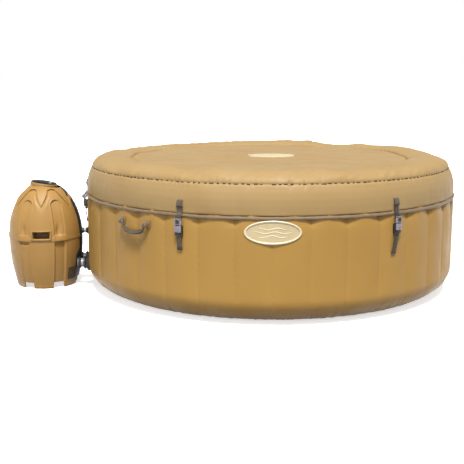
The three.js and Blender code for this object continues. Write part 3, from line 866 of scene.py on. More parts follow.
def build_cover_pad():
    """The inflated pad under the cover: a flat cushion with rings of round welds."""
    degrees = np.arange(0, 360, 1.0)[:, None]
    radius = BLADDER_HIGH.x / ON_CREST
    half = (BLADDER_HIGH.z - BLADDER_LOW.z) / 2
    middle = (BLADDER_HIGH.z + BLADDER_LOW.z) / 2
    turn = np.linspace(-math.pi / 2, math.pi / 2, 25)
    flat = np.linspace(0.004, radius - half, 90)
    edge_r = radius - half + half * np.cos(turn)
    edge_z = half * np.sin(turn)
    r = np.concatenate([flat[:-1], edge_r, flat[::-1][1:]])[None, :]
    z = np.concatenate([np.full(len(flat) - 1, -half), edge_z, np.full(len(flat) - 1, half)])[None, :]
    dimple = np.zeros(np.broadcast_shapes(degrees.shape, r.shape))
    for ring, count in ((0.18, 6), (0.36, 12), (0.54, 18)):
        x = r * np.sin(np.radians(degrees))
        y = -r * np.cos(np.radians(degrees))
        for k in range(count):
            a = 2 * math.pi * k / count
            away = (x - ring * math.sin(a)) ** 2 + (y + ring * math.cos(a)) ** 2
            dimple += np.exp(-away / 0.045**2)
    z = z * (1 - 0.62 * np.clip(dimple, 0, 1)) + middle
    pad = add_grid("cover_pad", polar(degrees, np.broadcast_to(r, z.shape), z), LINER)
    attach(pad, "cover", "liner", "cover_bladder")


# ---- badges ----
def oval_plate(half_width, half_height, rim, thickness, lift, steps=96):
    """An oval plate's rim and field as grids in (x, z, height above the wall)."""
    turn = np.linspace(0, 2 * math.pi, steps, endpoint=False)[:, None]
    inner = 1 - rim / half_height
    rim_line = bevelled([(1.0, 0.0), (1.0, thickness), (inner, thickness), (inner, lift)], 0.0012)
    shares = np.array([p[0] for p in rim_line])[None, :]
    heights = np.array([p[1] for p in rim_line])[None, :]
    inset = (1 - shares) * half_height
    rim_grid = np.stack(
        [
            (half_width - inset) * np.cos(turn),
            (half_height - inset) * np.sin(turn),
            np.broadcast_to(heights, (steps, heights.shape[1])),
        ],
        -1,
    )
    share = np.linspace(1, 0.001, 40)[None, :]
    field_grid = np.stack(
        [
            (half_width - rim) * share * np.cos(turn),
            (half_height - rim) * share * np.sin(turn),
            np.full((steps, 40), lift),
        ],
        -1,
    )
    return rim_grid, field_grid


def build_front_badge():
    centre_z = (BADGE_LOW.z + BADGE_HIGH.z) / 2
    half_width = BADGE_HIGH.x
    half_height = (BADGE_HIGH.z - BADGE_LOW.z) / 2
    base = WALL_R - 0.001
    rim_grid, field_grid = oval_plate(half_width, half_height, 0.0085, 0.0068, 0.0042)

    def wrapped(grid):
        turn = np.degrees(grid[..., 0] / base)
        return polar(turn, base + grid[..., 2] - 0.002, centre_z + grid[..., 1])

    rim = add_grid("front_badge_rim", wrapped(rim_grid), CREAM)
    field = add_grid("front_badge_field", wrapped(field_grid), BADGE_FIELD)
    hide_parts("front_badge")
    ripples = Batch()
    for k, (z, half) in enumerate(((0.016, 0.062), (-0.001, 0.082), (-0.018, 0.062))):
        x = np.linspace(-half, half, 60)
        swell = 0.0042 * np.sin(x / 0.0135 + 0.9 * k)
        line = wrapped(np.stack([x, z + swell, np.full(60, 0.0045)], -1))
        taper = 0.25 + 0.75 * np.sqrt(np.clip(1 - (x / half) ** 2, 0, 1))
        ripples.add(*sweep(line, oval_section(0.0044, 0.0024, 10), side=(0, 0, 1), scale=taper))
    waves_piece = ripples.build("front_badge_waves", CREAM)
    for piece in (rim, field, waves_piece):
        attach(piece, "tub", "badge")


def build_lid_badge():
    half_width = LID_BADGE_HIGH.x
    half_depth = LID_BADGE_HIGH.y
    rim_grid, field_grid = oval_plate(half_width, half_depth, 0.008, 0.0080, 0.0062)
    for grid in (rim_grid, field_grid):
        grid += (0.012, 0, DISC_Z)
    rim = add_grid("lid_badge_rim", rim_grid, CREAM)
    field = add_grid("lid_badge_field", field_grid, BADGE_FIELD)
    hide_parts("cover_badge")
    for piece in (rim, field):
        attach(piece, "cover", "badge")


# ---- straps and buckles ----
def skirt_out(z):
    """How far from the axis the cover's skirt stands at a height."""
    half = slice(np.searchsorted(COVER_ALONG, HEM_S), np.searchsorted(COVER_ALONG, SEAM_S))
    line = COVER_LINE[half]
    return float(np.interp(z, line[:, 1], line[:, 0]))


def ribbon(route, width, thickness, degrees):
    """A flat strap at a station, along (x, out, z) points."""
    path = curve_through(route, 6 * len(route))
    section = rounded_section(width, thickness, thickness * 0.45, 2)
    vertices, faces = sweep(path, section, side=(1, 0, 0))
    return at_station(vertices, degrees), faces


def build_strap_loops():
    """The patch sewn to the skirt above each strap, with its bar of stitching."""
    patches = Batch()
    thread = Batch()
    for i in STRAPS:
        degrees = STRAP_ANGLES[i]
        top, low = STRAP_TOP, STRAP_TOP - 0.0255
        route = [
            (0, skirt_out(top) - 0.001, top + 0.001),
            (0, skirt_out(top) + 0.0045, top - 0.003),
            (0, skirt_out(0.55) + 0.0065, 0.5500),
            (0, skirt_out(low) + 0.0085, low + 0.003),
            (0, skirt_out(low) + 0.0065, low),
        ]
        patches.add(*ribbon(route, 0.029, 0.0036, degrees))
        for side in (-1, 1):
            for k in range(6):
                z = top - 0.005 - 0.0028 * k
                out = skirt_out(z) + 0.0089
                dash = [(side * 0.0128, out, z), (side * 0.0128, out, z - 0.0018)]
                v, f = sweep(np.array(dash), oval_section(0.0009, 0.0009, 6))
                thread.add(at_station(v, degrees), f)
    patch = patches.build("strap_patches", WEB_GREY)
    stitches = thread.build("strap_stitches", THREAD_AND_SHADOW)
    for piece in (patch, stitches):
        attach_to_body(piece, "cover")


def build_webbing():
    bars = Batch()
    for i in STRAPS:
        degrees = STRAP_ANGLES[i]
        low = STRAP_TOP - 0.028
        route = [
            (0, skirt_out(0.545) + 0.0028, 0.545),
            (0, skirt_out(low) + 0.0045, low),
            (0, WELT_R - 0.004, WELT_HIGH + 0.008),
            (0, WELT_R + 0.0030, WELT_HIGH - 0.003),
            (0, WELT_R + 0.0040, WELT_LOW + 0.001),
            (0, WELT_R + 0.0050, BUCKLE_TOP + 0.004),
            (0, WELT_R + 0.0045, BUCKLE_TOP - 0.012),
            (0, WELT_R + 0.0045, BUCKLE_SPLIT + 0.010),
        ]
        band = Batch().add(*ribbon(route, STRAP_WIDTH, 0.0022, degrees))
        # painted shade: strap 4, on the shaded side, takes the darker copy of the webbing
        strap = band.build(f"strap_band_{i}", WEB_PAINTED_SHADE if i == 4 else WEB_GREY)
        attach(strap, "cover", "webbing", f"strap_{i}")
        # a black bar under each patch's lower edge, where the slit lies in shadow: a bar and also painted
        # shadow
        v, f = sweep(np.array([(-0.0175, 0, 0), (0.0175, 0, 0)]), oval_section(0.0055, 0.0055, 10))
        bars.add(at_station(v + (0, skirt_out(low) + 0.0055, low - 0.0015), degrees), f)
    bar = bars.build("strap_bars", BLACK)
    attach(bar, "cover", "black")


def station_piece(shapes, degrees, name, material, body, slot, *nodes):
    """One piece from shapes drawn at a station, riding a body and standing for CAD nodes."""
    batch = Batch()
    for vertices, faces in shapes:
        batch.add(at_station(vertices, degrees), faces)
    attach(batch.build(name, material), body, slot, *nodes)


def turned_out(profile, steps, out, z):
    """A turned shape whose axis points out of the wall."""
    vertices, faces = lathe(profile, steps)
    return standing_out(vertices, 0, out, z), faces


def clip_shapes():
    """The half of a buckle that pulls out upwards: silver head with the lock's seat, and two side prongs."""
    low = BUCKLE_SPLIT + 0.0015
    height = BUCKLE_TOP - low
    depth = BUCKLE_FRONT - CLIP_REAR - 0.0005
    middle = CLIP_REAR + depth * 0.4
    seat = [(0.0001, 0), (0.0126, 0), (0.0126, 0.0022), (0.0104, 0.0030), (0.0096, 0.0012), (0.0001, 0.0012)]
    shapes = [
        block((BUCKLE_WIDTH, depth, height * 0.72), (0, CLIP_REAR + depth / 2, low + height * 0.36), 0.0032),
        block((BUCKLE_WIDTH * 0.92, depth * 0.7, 0.0042), (0, middle, BUCKLE_TOP - 0.0021), 0.0018),
        turned_out(bevelled(seat, 0.0006), 36, BUCKLE_FRONT - 0.0012, LOCK_Z),
    ]
    for side in (-1, 1):
        x = side * (BUCKLE_WIDTH / 2 - 0.0042)
        shapes.append(block((0.0040, depth * 0.7, height * 0.5), (x, middle, BUCKLE_TOP - 0.008), 0.0015))
        prong = (x - side * 0.0012, BUCKLE_FRONT - 0.0070, low - 0.0135)
        shapes.append(block((0.0062, 0.0056, 0.034), prong, 0.002))
    return shapes


def knob_shapes():
    """The turning lock: a round knob with a grip bar across it."""
    knob = bevelled([(0.0001, 0.0008), (0.0090, 0.0008), (0.0086, 0.0050), (0.0001, 0.0050)], 0.0010)
    return [
        turned_out(knob, 36, BUCKLE_FRONT, LOCK_Z),
        block((0.0034, 0.0040, 0.0150), (0, BUCKLE_FRONT + 0.0062, LOCK_Z), 0.0012),
    ]


def socket_shapes():
    """The half of a buckle that stays on the wall: a black frame round the place of the prongs."""
    depth = BUCKLE_FRONT - 0.0030 - SOCKET_REAR
    middle = SOCKET_REAR + depth / 2
    wall, back = WALL_R - 0.004, SOCKET_REAR + 0.003
    low = BUCKLE_LOW + 0.0030
    half = BUCKLE_WIDTH / 2
    shapes = [
        block((BUCKLE_WIDTH, depth, 0.0060), (0, middle, BUCKLE_LOW + 0.0185), 0.002),
        block((BUCKLE_WIDTH, depth * 0.8, 0.0050), (0, SOCKET_REAR + depth * 0.4, low), 0.002),
        block((BUCKLE_WIDTH - 0.002, back - wall, 0.0440), (0, (back + wall) / 2, low + 0.0210), 0.003),
    ]
    for side in (-1, 1):
        upper = (side * (half - 0.0025), middle, BUCKLE_LOW + 0.0310)
        lower = (side * (half - 0.0021), SOCKET_REAR + depth * 0.35, BUCKLE_LOW + 0.0100)
        shapes.append(block((0.0050, depth, 0.0310), upper, 0.002))
        shapes.append(block((0.0042, depth * 0.7, 0.0180), lower, 0.0015))
    return shapes


def socket_front_shapes():
    """The socket's silver front plate with its moulded grip ribs."""
    plate = (0, BUCKLE_FRONT - 0.0022, SOCKET_MIDDLE)
    shapes = [block((BUCKLE_WIDTH - 0.0016, 0.0050, 0.0310), plate, 0.0024)]
    for k in range(3):
        rib = (0, BUCKLE_FRONT + 0.0006, BUCKLE_LOW + 0.0240 + 0.0050 * k)
        shapes.append(block((0.0180, 0.0016, 0.0018), rib, 0.0007))
    return shapes


def build_buckles():
    for i in STRAPS:
        degrees = STRAP_ANGLES[i]
        clip, knob, socket = f"buckle_tab_{i}", f"buckle_lock_{i}", f"buckle_body_{i}"
        station_piece(clip_shapes(), degrees, f"buckle_clip_{i}", SILVER, clip, "buckle", clip)
        slider = block((0.034, 0.0056, 0.0056), (0, WELT_R + 0.0085, BUCKLE_TOP + 0.0035), 0.002)
        station_piece([slider], degrees, f"buckle_slider_{i}", BLACK, clip, "black")
        station_piece(knob_shapes(), degrees, f"buckle_knob_{i}", BLACK, knob, "black", knob)
        station_piece(socket_shapes(), degrees, f"buckle_socket_{i}", BLACK, "tub", "black", socket)
        station_piece(socket_front_shapes(), degrees, f"buckle_front_{i}", SILVER, "tub", "buckle")


def build_tails():
    """The short strap that holds each buckle to the wall, and its loose folded end."""
    rng = np.random.default_rng(61)
    shaded_webbing = Batch()
    for i in STRAPS:
        degrees = STRAP_ANGLES[i]
        low = {3: 0.340, 4: 0.312}.get(i, rng.uniform(0.318, 0.345))
        lean = {3: 0.002, 4: -0.013}.get(i, rng.uniform(-0.01, 0.01))
        start = BUCKLE_LOW + 0.012
        route = [
            (0, BUCKLE_FRONT - 0.014, start + 0.004),
            (0, BUCKLE_FRONT - 0.009, start - 0.003),
            (lean * 0.15, BUCKLE_FRONT - 0.0125, start - 0.016),
            (lean * 0.45, WALL_R + 0.0110, (start + low) / 2 + 0.008),
            (lean * 0.8, WALL_R + 0.0070, low + 0.018),
            (lean, WALL_R + 0.0055, low + 0.006),
        ]
        tail = Batch().add(*ribbon(route, STRAP_WIDTH - 0.001, 0.0022, degrees))
        # painted shade: strap 4's tail takes the darker copy of the webbing
        tail_piece = tail.build(f"strap_tail_{i}", WEB_PAINTED_SHADE if i == 4 else WEB_GREY)
        attach(tail_piece, "tub", "webbing")
        fold = [
            (lean, WALL_R + 0.0075, low + 0.014),
            (lean, WALL_R + 0.0085, low + 0.006),
            (lean, WALL_R + 0.0075, low - 0.001),
            (lean, WALL_R + 0.0045, low - 0.001),
            (lean, WALL_R + 0.0035, low + 0.006),
        ]
        shaded_webbing.add(*ribbon(fold, STRAP_WIDTH, 0.0022, degrees))
        through = [(0, 0.992, 0.4165), (0, 0.999, 0.4150), (0, 1.004, 0.4125)]
        shaded_webbing.add(*ribbon(through, STRAP_WIDTH, 0.003, degrees))
    # painted shade: the folded ends and the turns under the sockets are drawn in the darker webbing
    dark = shaded_webbing.build("strap_folds", WEB_PAINTED_SHADE)
    attach(dark, "tub", "webbing")


# ---- carry handles ----
def handle_route():
    """The handle's line at its station, hanging from its two pivots: one half, then its mirror image."""
    half = [(0.083, -0.001), (0.074, 0.004), (0.070, 0.014), (0.063, 0.029), (0.034, 0.041)]
    left = [(-x, HANDLE_PIVOT, HANDLE_Z - drop) for x, drop in half]
    right = [(x, HANDLE_PIVOT, HANDLE_Z - drop) for x, drop in reversed(half)]
    return curve_through([*left, (0, HANDLE_PIVOT, HANDLE_Z - 0.045), *right], 90)


def build_handles():
    for i in HANDLES:
        degrees = HANDLE_ANGLES[i]
        route = handle_route()
        thick = 0.60 + 0.40 * (1 - smoothstep(np.abs(route[:, 0]), 0.050, 0.066))
        # painted shade: the grip's faces more than 3.5 mm below its centre line take the black material, the
        # rest the taupe
        top, under = Batch(), Batch()
        section = oval_section(0.0230, 0.0215, 20)
        v, f = sweep(route, section, side=(0, 1, 0), scale=thick)
        v = at_station(v, degrees)
        centres = at_station(route, degrees)
        lower = []
        upper = []
        for face in f:
            if len(face) > 4:
                upper.append(face)
                continue
            ring = face[0] // len(section)
            below = v[list(face)].mean(0)[2] < centres[ring][2] - 0.0035
            (lower if below else upper).append(face)
        top.add(v, upper)
        under.add(v, lower)
        attach(top.build(f"handle_grip_top_{i}", TAUPE), f"handle_{i}", "welt", f"handle_grip_{i}")
        attach(under.build(f"handle_grip_painted_shade_{i}", RUBBER_AND_SHADE), f"handle_{i}", "black")

        anchors, pins = Batch(), Batch()
        for side in (-1, 1):
            x = side * HANDLE_HALF
            out = (HANDLE_PIVOT + WALL_R) / 2
            deep = HANDLE_PIVOT - WALL_R + 0.020
            anchors.add(*block((0.0110, deep, 0.0240), (x + side * 0.003, out, HANDLE_Z), 0.004))
            anchors.add(*block((0.0260, 0.0050, 0.0340), (x, WALL_R + 0.001, HANDLE_Z), 0.0024))
            rod = [(0.0001, -0.010), (0.0052, -0.010), (0.0052, 0.010), (0.0001, 0.010)]
            v, f = lathe(bevelled(rod, 0.0012), 20)
            pin = np.stack([v[:, 2] + x - side * 0.004, v[:, 0] + HANDLE_PIVOT, v[:, 1] + HANDLE_Z], -1)
            pins.add(pin, f)
        for batch in (anchors, pins):
            batch.vertices = list(at_station(np.array(batch.vertices), degrees))
        attach(anchors.build(f"handle_mount_{i}", WELT), "tub", "welt", f"handle_anchor_{i}")
        attach(pins.build(f"handle_pins_{i}", METAL), "tub", "metal")


# ---- valves ----
def build_valve(name, radius):
    low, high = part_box(f"{name}_valve")
    centre = (low + high) / 2
    degrees = math.degrees(math.atan2(centre.x, -centre.y))
    seat = WALL_R + 0.0005
    rim = radius + 0.009
    flange = [(0.0001, 0.0), (rim, 0.0), (rim, 0.0030), (radius, 0.0040), (radius, 0.012),
              (0.0001, 0.012)]
    v, f = lathe(bevelled(flange, 0.0010))
    body = Batch().add(at_station(standing_out(v, 0, seat, centre.z), degrees), f)
    body = body.build(f"{name}_valve_seat", GREY)
    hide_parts(f"{name}_valve")
    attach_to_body(body, "tub")
    cap = Batch()
    v, f = lathe(bevelled([(0.0001, 0.0130), (radius + 0.001, 0.0130), (radius + 0.001, 0.0042),
                           (radius + 0.0045, 0.0042), (radius + 0.0045, 0.0170), (0.0001, 0.0175)], 0.0012))
    cap.add(standing_out(v, 0, seat, centre.z), f)
    for k in range(24):
        a = 2 * math.pi * k / 24
        rib = block((0.0014, 0.0100, 0.0014), (0, seat + 0.0105, 0), 0.0005)
        rib[0][:, 0] += (radius + 0.0046) * math.cos(a)
        rib[0][:, 2] += (radius + 0.0046) * math.sin(a) + centre.z
        cap.add(*rib)
    cap.vertices = list(at_station(np.array(cap.vertices), degrees))
    cap_piece = cap.build(f"{name}_cap_ribbed", GREY)
    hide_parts(f"{name}_cap")
    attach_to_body(cap_piece, f"{name}_cap")


# ---- pump unit casing ----
def casing_base(z):
    below = PUMP_R - (PUMP_R - PUMP_FOOT_R) * np.clip((PUMP_BELLY_Z - z) / PUMP_BELLY_Z, 0, 1) ** 2.2
    dome = PUMP_R * np.sqrt(np.clip(1 - (np.clip(z - PUMP_BELLY_Z, 0, None) / PUMP_DOME_H) ** 2, 0.01, 1))
    return np.maximum(np.where(z <= PUMP_BELLY_Z, below, dome), NECK_R)


def collar_edge(degrees):
    """The collar's lower edge: a pointed tongue at each lobe."""
    off = np.abs(wrapped_deg(degrees, LOBE_DEG))
    tongue = 0.435 + 0.080 * np.clip(off / 17.3, 0, 1)
    return tongue + 0.004 * smoothstep(off, 17, 30)


def flute_depth(degrees, z, top):
    """How deep inside a flute a point is, 0 outside it, in metres from its border."""
    r = casing_base(z)
    side = r * np.sin(np.radians(wrapped_deg(degrees - LOBE_DEG / 2, LOBE_DEG)))
    centre = top - FLUTE_HALF
    border = np.where(z > centre, FLUTE_HALF - np.hypot(side, z - centre), FLUTE_HALF - np.abs(side))
    return border, side


def degrees_signed(degrees):
    """Degrees from the handhold's middle, -180 to 180, never 0."""
    return wrapped_deg(degrees, 360) + 1e-6


def upper_relief(degrees, z):
    edge = collar_edge(degrees)
    off = np.abs(wrapped_deg(degrees, LOBE_DEG))
    above = smoothstep(z - edge, -0.0015, 0.0015)
    relief = 0.0026 * above
    groove = np.exp(-np.clip(edge - z, 0, None) / 0.0085) * (1 - above)
    relief -= (0.0150 * groove) * (0.30 + 0.70 * smoothstep(z, 0.435, 0.49))
    petal = hump(edge - z, 0.034, 0.026) * (1 - above) * smoothstep(off, 2, 14)
    relief += 0.0036 * petal
    border, side = flute_depth(degrees, z, 0.468)
    outer = smoothstep(-side * np.sign(degrees_signed(degrees)), -0.030, 0.010)
    relief -= 0.0080 * smoothstep(border, 0.0, 0.0040) * smoothstep(z, 0.262, 0.30) * (0.35 + 0.65 * outer)
    relief += 0.0016 * hump(border, -0.003, 0.0035) * smoothstep(z, 0.30, 0.34) * outer
    scoop = hump(z, 0.312, 0.026) * hump(side, -0.006, 0.011)
    relief -= 0.0085 * scoop
    band_top = 0.273 + 0.014 * smoothstep(border, -0.012, 0.004)
    band = smoothstep(band_top - z, -0.003, 0.002)
    beside = 0.15 + 0.85 * smoothstep(border, -0.030, -0.002)
    return relief + 0.0030 * band * beside


def lower_relief(degrees, z):
    border, side = flute_depth(degrees, z, 0.40)
    shallow = hump(wrapped_deg(degrees + LOBE_DEG / 2, 360), 0, LOBE_DEG / 4)
    slot = hump(z, LEDGE_LOW - 0.012, 0.0075)
    full = 0.0105 * smoothstep(border, -0.001, 0.0028) * np.ones_like(z)
    relief = -full * (1 - shallow * (0.84 - 0.84 * slot))
    relief += 0.0012 * hump(border, -0.0035, 0.0030) * (1 - shallow)
    skirt = 1 - smoothstep(z, 0.012, 0.020)
    return relief + 0.0014 * skirt


def casing_point(degrees, z, relief):
    r = casing_base(z) + relief
    a = np.radians(degrees)
    r, z, a = np.broadcast_arrays(r, z, a)
    return in_pump(np.stack([r * np.sin(a), -r * np.cos(a), z], -1))


def foot_height(degrees):
    """The casing's lower edge: it lifts clear of the ground under each flute."""
    side = PUMP_FOOT_R * np.sin(np.radians(wrapped_deg(degrees - LOBE_DEG / 2, LOBE_DEG)))
    return 0.031 * smoothstep(FLUTE_HALF - np.abs(side), 0.000, 0.003)


def build_casing():
    degrees = np.arange(0, 360, 0.5)[:, None]
    share = np.linspace(0, 1, 190)[None, :]
    top = PUMP_TOP_Z + 0.0055 - 0.078 * math.sin(PANEL_TILT) * np.sin(np.radians(degrees))
    z = LEDGE_LOW + (top - LEDGE_LOW) * share
    points = casing_point(degrees, z, upper_relief(degrees, z))
    lip = casing_point(degrees, np.full_like(degrees, LEDGE_LOW), np.full_like(degrees, -0.016))
    points = np.concatenate([lip, points], axis=1)
    half, low, high = HANDHOLD
    r = casing_base(z) * np.ones_like(z)
    side = r * np.sin(np.radians(degrees))
    front = np.cos(np.radians(degrees)) > 0
    inside = (np.abs(side) < half) & (z > low) & (z < high) & front
    rows, columns = points.shape[:2]
    faces = []
    for i in range(rows):
        k = (i + 1) % rows
        for j in range(columns - 1):
            if j > 0 and inside[i, j - 1] and inside[k, j - 1] and inside[i, min(j, columns - 2)]:
                continue
            faces.append((i * columns + j, k * columns + j, k * columns + j + 1, i * columns + j + 1))
    upper = add_mesh("casing_upper", points.reshape(-1, 3), faces, CASING)
    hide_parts("pump_upper_shell")

    share = np.linspace(0, 1, 120)[None, :]
    foot = foot_height(degrees)
    z = foot + (LEDGE_LOW + 0.004 - foot) * share
    points = casing_point(degrees, z, lower_relief(degrees, z) - 0.0012)
    under = casing_point(degrees, foot + 0.001, lower_relief(degrees, foot) - 0.007)
    points = np.concatenate([under, points], axis=1)
    lower = add_grid("casing_lower", points, CASING)
    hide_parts("pump_lower_shell")
    base = Batch()
    v, f = lathe([(0.0001, 0.034), (PUMP_FOOT_R - 0.014, 0.034), (PUMP_FOOT_R - 0.014, 0.040)], 64)
    base.add(in_pump(v), [tuple(reversed(face)) for face in f])
    plate = base.build("casing_base", CASING)
    for piece in (upper, lower, plate):
        attach(piece, "tub", "pump")


def casing_surface(degrees, z, lift=0.0):
    """A point on the smooth casing, lifted off it."""
    return casing_point(np.asarray(degrees, float), np.asarray(z, float), lift)


def build_handhold():
    half, low, high = HANDHOLD
    outline = np.array(rounded_section(2 * half + 0.004, high - low + 0.004, 0.005, 5))
    middle = (low + high) / 2
    dense = []
    for a, b in zip(outline, np.roll(outline, -1, 0)):
        for t in np.linspace(0, 1, 8, endpoint=False):
            dense.append(a + (b - a) * t)
    dense = np.array(dense)

    def on_casing(points, lift):
        turn = np.degrees(np.arcsin(points[:, 0] / PUMP_R))
        return casing_surface(turn, middle + points[:, 1], lift)

    rim = Batch()
    path = on_casing(dense * (1.07, 1.16), 0.0026)
    rim.add(*sweep(path, oval_section(0.0085, 0.0085, 12), closed=True))
    rim_piece = rim.build("handhold_rim", CASING)
    levels = [0.0035, -0.006, -0.018, -0.034]
    rings = np.stack([on_casing(dense * (1 - 0.02 * k), lift) for k, lift in enumerate(levels)], 1)
    inner = rings[:, -1, :].mean(0)
    rings = np.concatenate([rings, np.broadcast_to(inner, (len(dense), 1, 3))], 1)
    pocket = add_grid("handhold_pocket", rings, POCKET)
    for piece in (rim_piece, pocket):
        attach(piece, "tub", "pump")


def build_port_panel():
    """The black strip up the side that faces the tub, wider at the foot where the hoses leave. It is a black
    panel and, where it spreads over the shaded side, painted shade.
    """
    z = np.concatenate([np.linspace(0.040, 0.250, 60), np.linspace(0.2501, 0.515, 80)])[None, :]
    share = np.linspace(-1, 1, 60)[:, None]
    half = 17 + 11 * (1 - smoothstep(z, 0.16, 0.21)) + 3 * smoothstep(z, 0.42, 0.5)
    degrees = 91 + half * share
    edge = 0.0042 * (1 - np.abs(share) ** 16)
    points = casing_point(degrees, z * np.ones_like(degrees), edge - 0.0012)
    panel = add_grid("port_panel", points, BLACK, wrap_rows=False)
    attach(panel, "tub", "black")


def build_vents():
    # dark squares laid on the casing: painted shade standing in for the dark inside of its vent holes
    slots = Batch()
    for column in range(5):
        for row in range(6):
            turn = 47 + 3.9 * column
            z = 0.044 + 0.0115 * row
            centre = casing_surface(turn, z, 0.0002)
            out = casing_surface(turn, z, 0.01) - centre
            out /= np.linalg.norm(out)
            side = np.cross((0, 0, 1.0), out)
            side /= np.linalg.norm(side)
            up = np.cross(out, side)
            v, f = block((0.0068, 0.0008, 0.0068), (0, 0, 0), 0.0012)
            slots.add(centre + v[:, :1] * side + v[:, 1:2] * out + v[:, 2:] * up, f)
    vents = slots.build("casing_vents", RUBBER_AND_SHADE)
    attach(vents, "tub", "black")


# ---- control panel ----
def on_head(points):
    """Points of the tilted control head (x towards the tub, z out of its face) in the shared frame."""
    p = np.asarray(points, float)
    c, s = math.cos(PANEL_TILT), math.sin(PANEL_TILT)
    turned = np.stack([p[..., 0] * c + p[..., 2] * s, p[..., 1], -p[..., 0] * s + p[..., 2] * c], -1)
    turned[..., 2] += HEAD_Z
    return in_pump(turned)


def build_control_head():
    ring = [(PANEL_R + 0.0035, -0.012), (PANEL_R + 0.0048, -0.004), (PANEL_R + 0.0042, 0.0050),
            (PANEL_R + 0.0010, 0.0068), (PANEL_R - 0.0015, 0.0050)]
    v, f = lathe(bevelled(ring, 0.0020), 96)
    bezel = Batch().add(on_head(v), f).build("head_bezel", CASING)
    face = [(0.0001, 0.0108), (PANEL_R * 0.6, 0.0106), (PANEL_R - 0.003, 0.0100), (PANEL_R - 0.0004, 0.0086),
            (PANEL_R - 0.0004, 0.002)]
    v, f = lathe(face[::-1], 96)
    disc = Batch().add(on_head(v), f).build("head_face", GLOSS)
    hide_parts("control_panel")
    lens = Batch()
    v, f = block((0.036, 0.055, 0.0030), (-0.014, 0, 0.0113), 0.003)
    lens.add(on_head(v), f)
    lens_piece = lens.build("head_lens", GLOSS)
    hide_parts("display_lens")
    print_marks = Batch()
    for k, y in enumerate((-0.018, -0.006, 0.006, 0.018)):
        v, f = block((0.017, 0.0022, 0.0004), (-0.014, y, 0.0129), 0.0005)
        print_marks.add(on_head(v), f)
        for x in (-0.0045, -0.0235):
            v, f = block((0.0022, 0.0075, 0.0004), (x, y, 0.0129), 0.0005)
            print_marks.add(on_head(v), f)
    for turn in range(0, 360, 45):
        if turn in (0, 45, 315):
            continue
        a = math.radians(turn)
        v, f = lathe([(0.0001, 0.0004), (0.0036, 0.0004), (0.0042, 0.0)][::-1], 18)
        print_marks.add(on_head(v + (0.0535 * math.cos(a), 0.0535 * math.sin(a), 0.0097)), f)
    marks = print_marks.build("head_marks", ICON)
    for piece in (bezel, disc, lens_piece, marks):
        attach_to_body(piece, "tub")
    for k, name in enumerate(("button_heat", "button_bubbles", "button_filter")):
        x, y = 0.034, (k - 1) * 0.026
        cap = [(0.0001, 0.0138), (0.0076, 0.0132), (0.0080, 0.0085), (0.0001, 0.0085)]
        v, f = lathe(bevelled(cap, 0.0012)[::-1], 32)
        key = Batch().add(on_head(v + (x, y, 0)), f).build(f"{name}_key", GREY)
        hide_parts(name)
        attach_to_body(key, name)


# ---- hoses and couplings ----
def tube_piece(name, profile, y, z, material, slot, *nodes):
    """A turned piece of the tub's on a line parallel to the pump's +X; the profile holds (radius, x)."""
    v, f = lathe(bevelled(profile, 0.0012))
    attach(Batch().add(in_pump(along_x(v, (0, y, z))), f).build(name, material), "tub", slot, *nodes)


def build_nut(side, y):
    """A ribbed coupling nut, in one piece."""
    x0, x1 = 0.2045, WALL_X - 0.0115
    outline = [(0.0205, x0), (0.0285, x0), (0.0320, x0 + 0.004)]
    outline += [(0.0320, x1 - 0.004), (0.0285, x1), (0.0205, x1)]
    v, f = lathe(bevelled(outline, 0.0012))
    nut = Batch().add(in_pump(along_x(v, (0, y, WATER_Z))), f)
    ribs = 12
    rib_r = 0.0328
    for k in range(ribs):
        a = 2 * math.pi * k / ribs
        v, f = block((x1 - x0 - 0.006, 0.0052, 0.0036), ((x0 + x1) / 2, 0, 0), 0.0012)
        c, s = math.cos(a), math.sin(a)
        up = v[:, 2] + rib_r
        turned = np.stack([v[:, 0], v[:, 1] * c - up * s, v[:, 1] * s + up * c], -1)
        nut.add(in_pump(turned + (0, y, WATER_Z)), f)
    attach(nut.build(f"{side}_nut_ribbed", BLACK), f"{side}_nut", "black", f"{side}_nut")


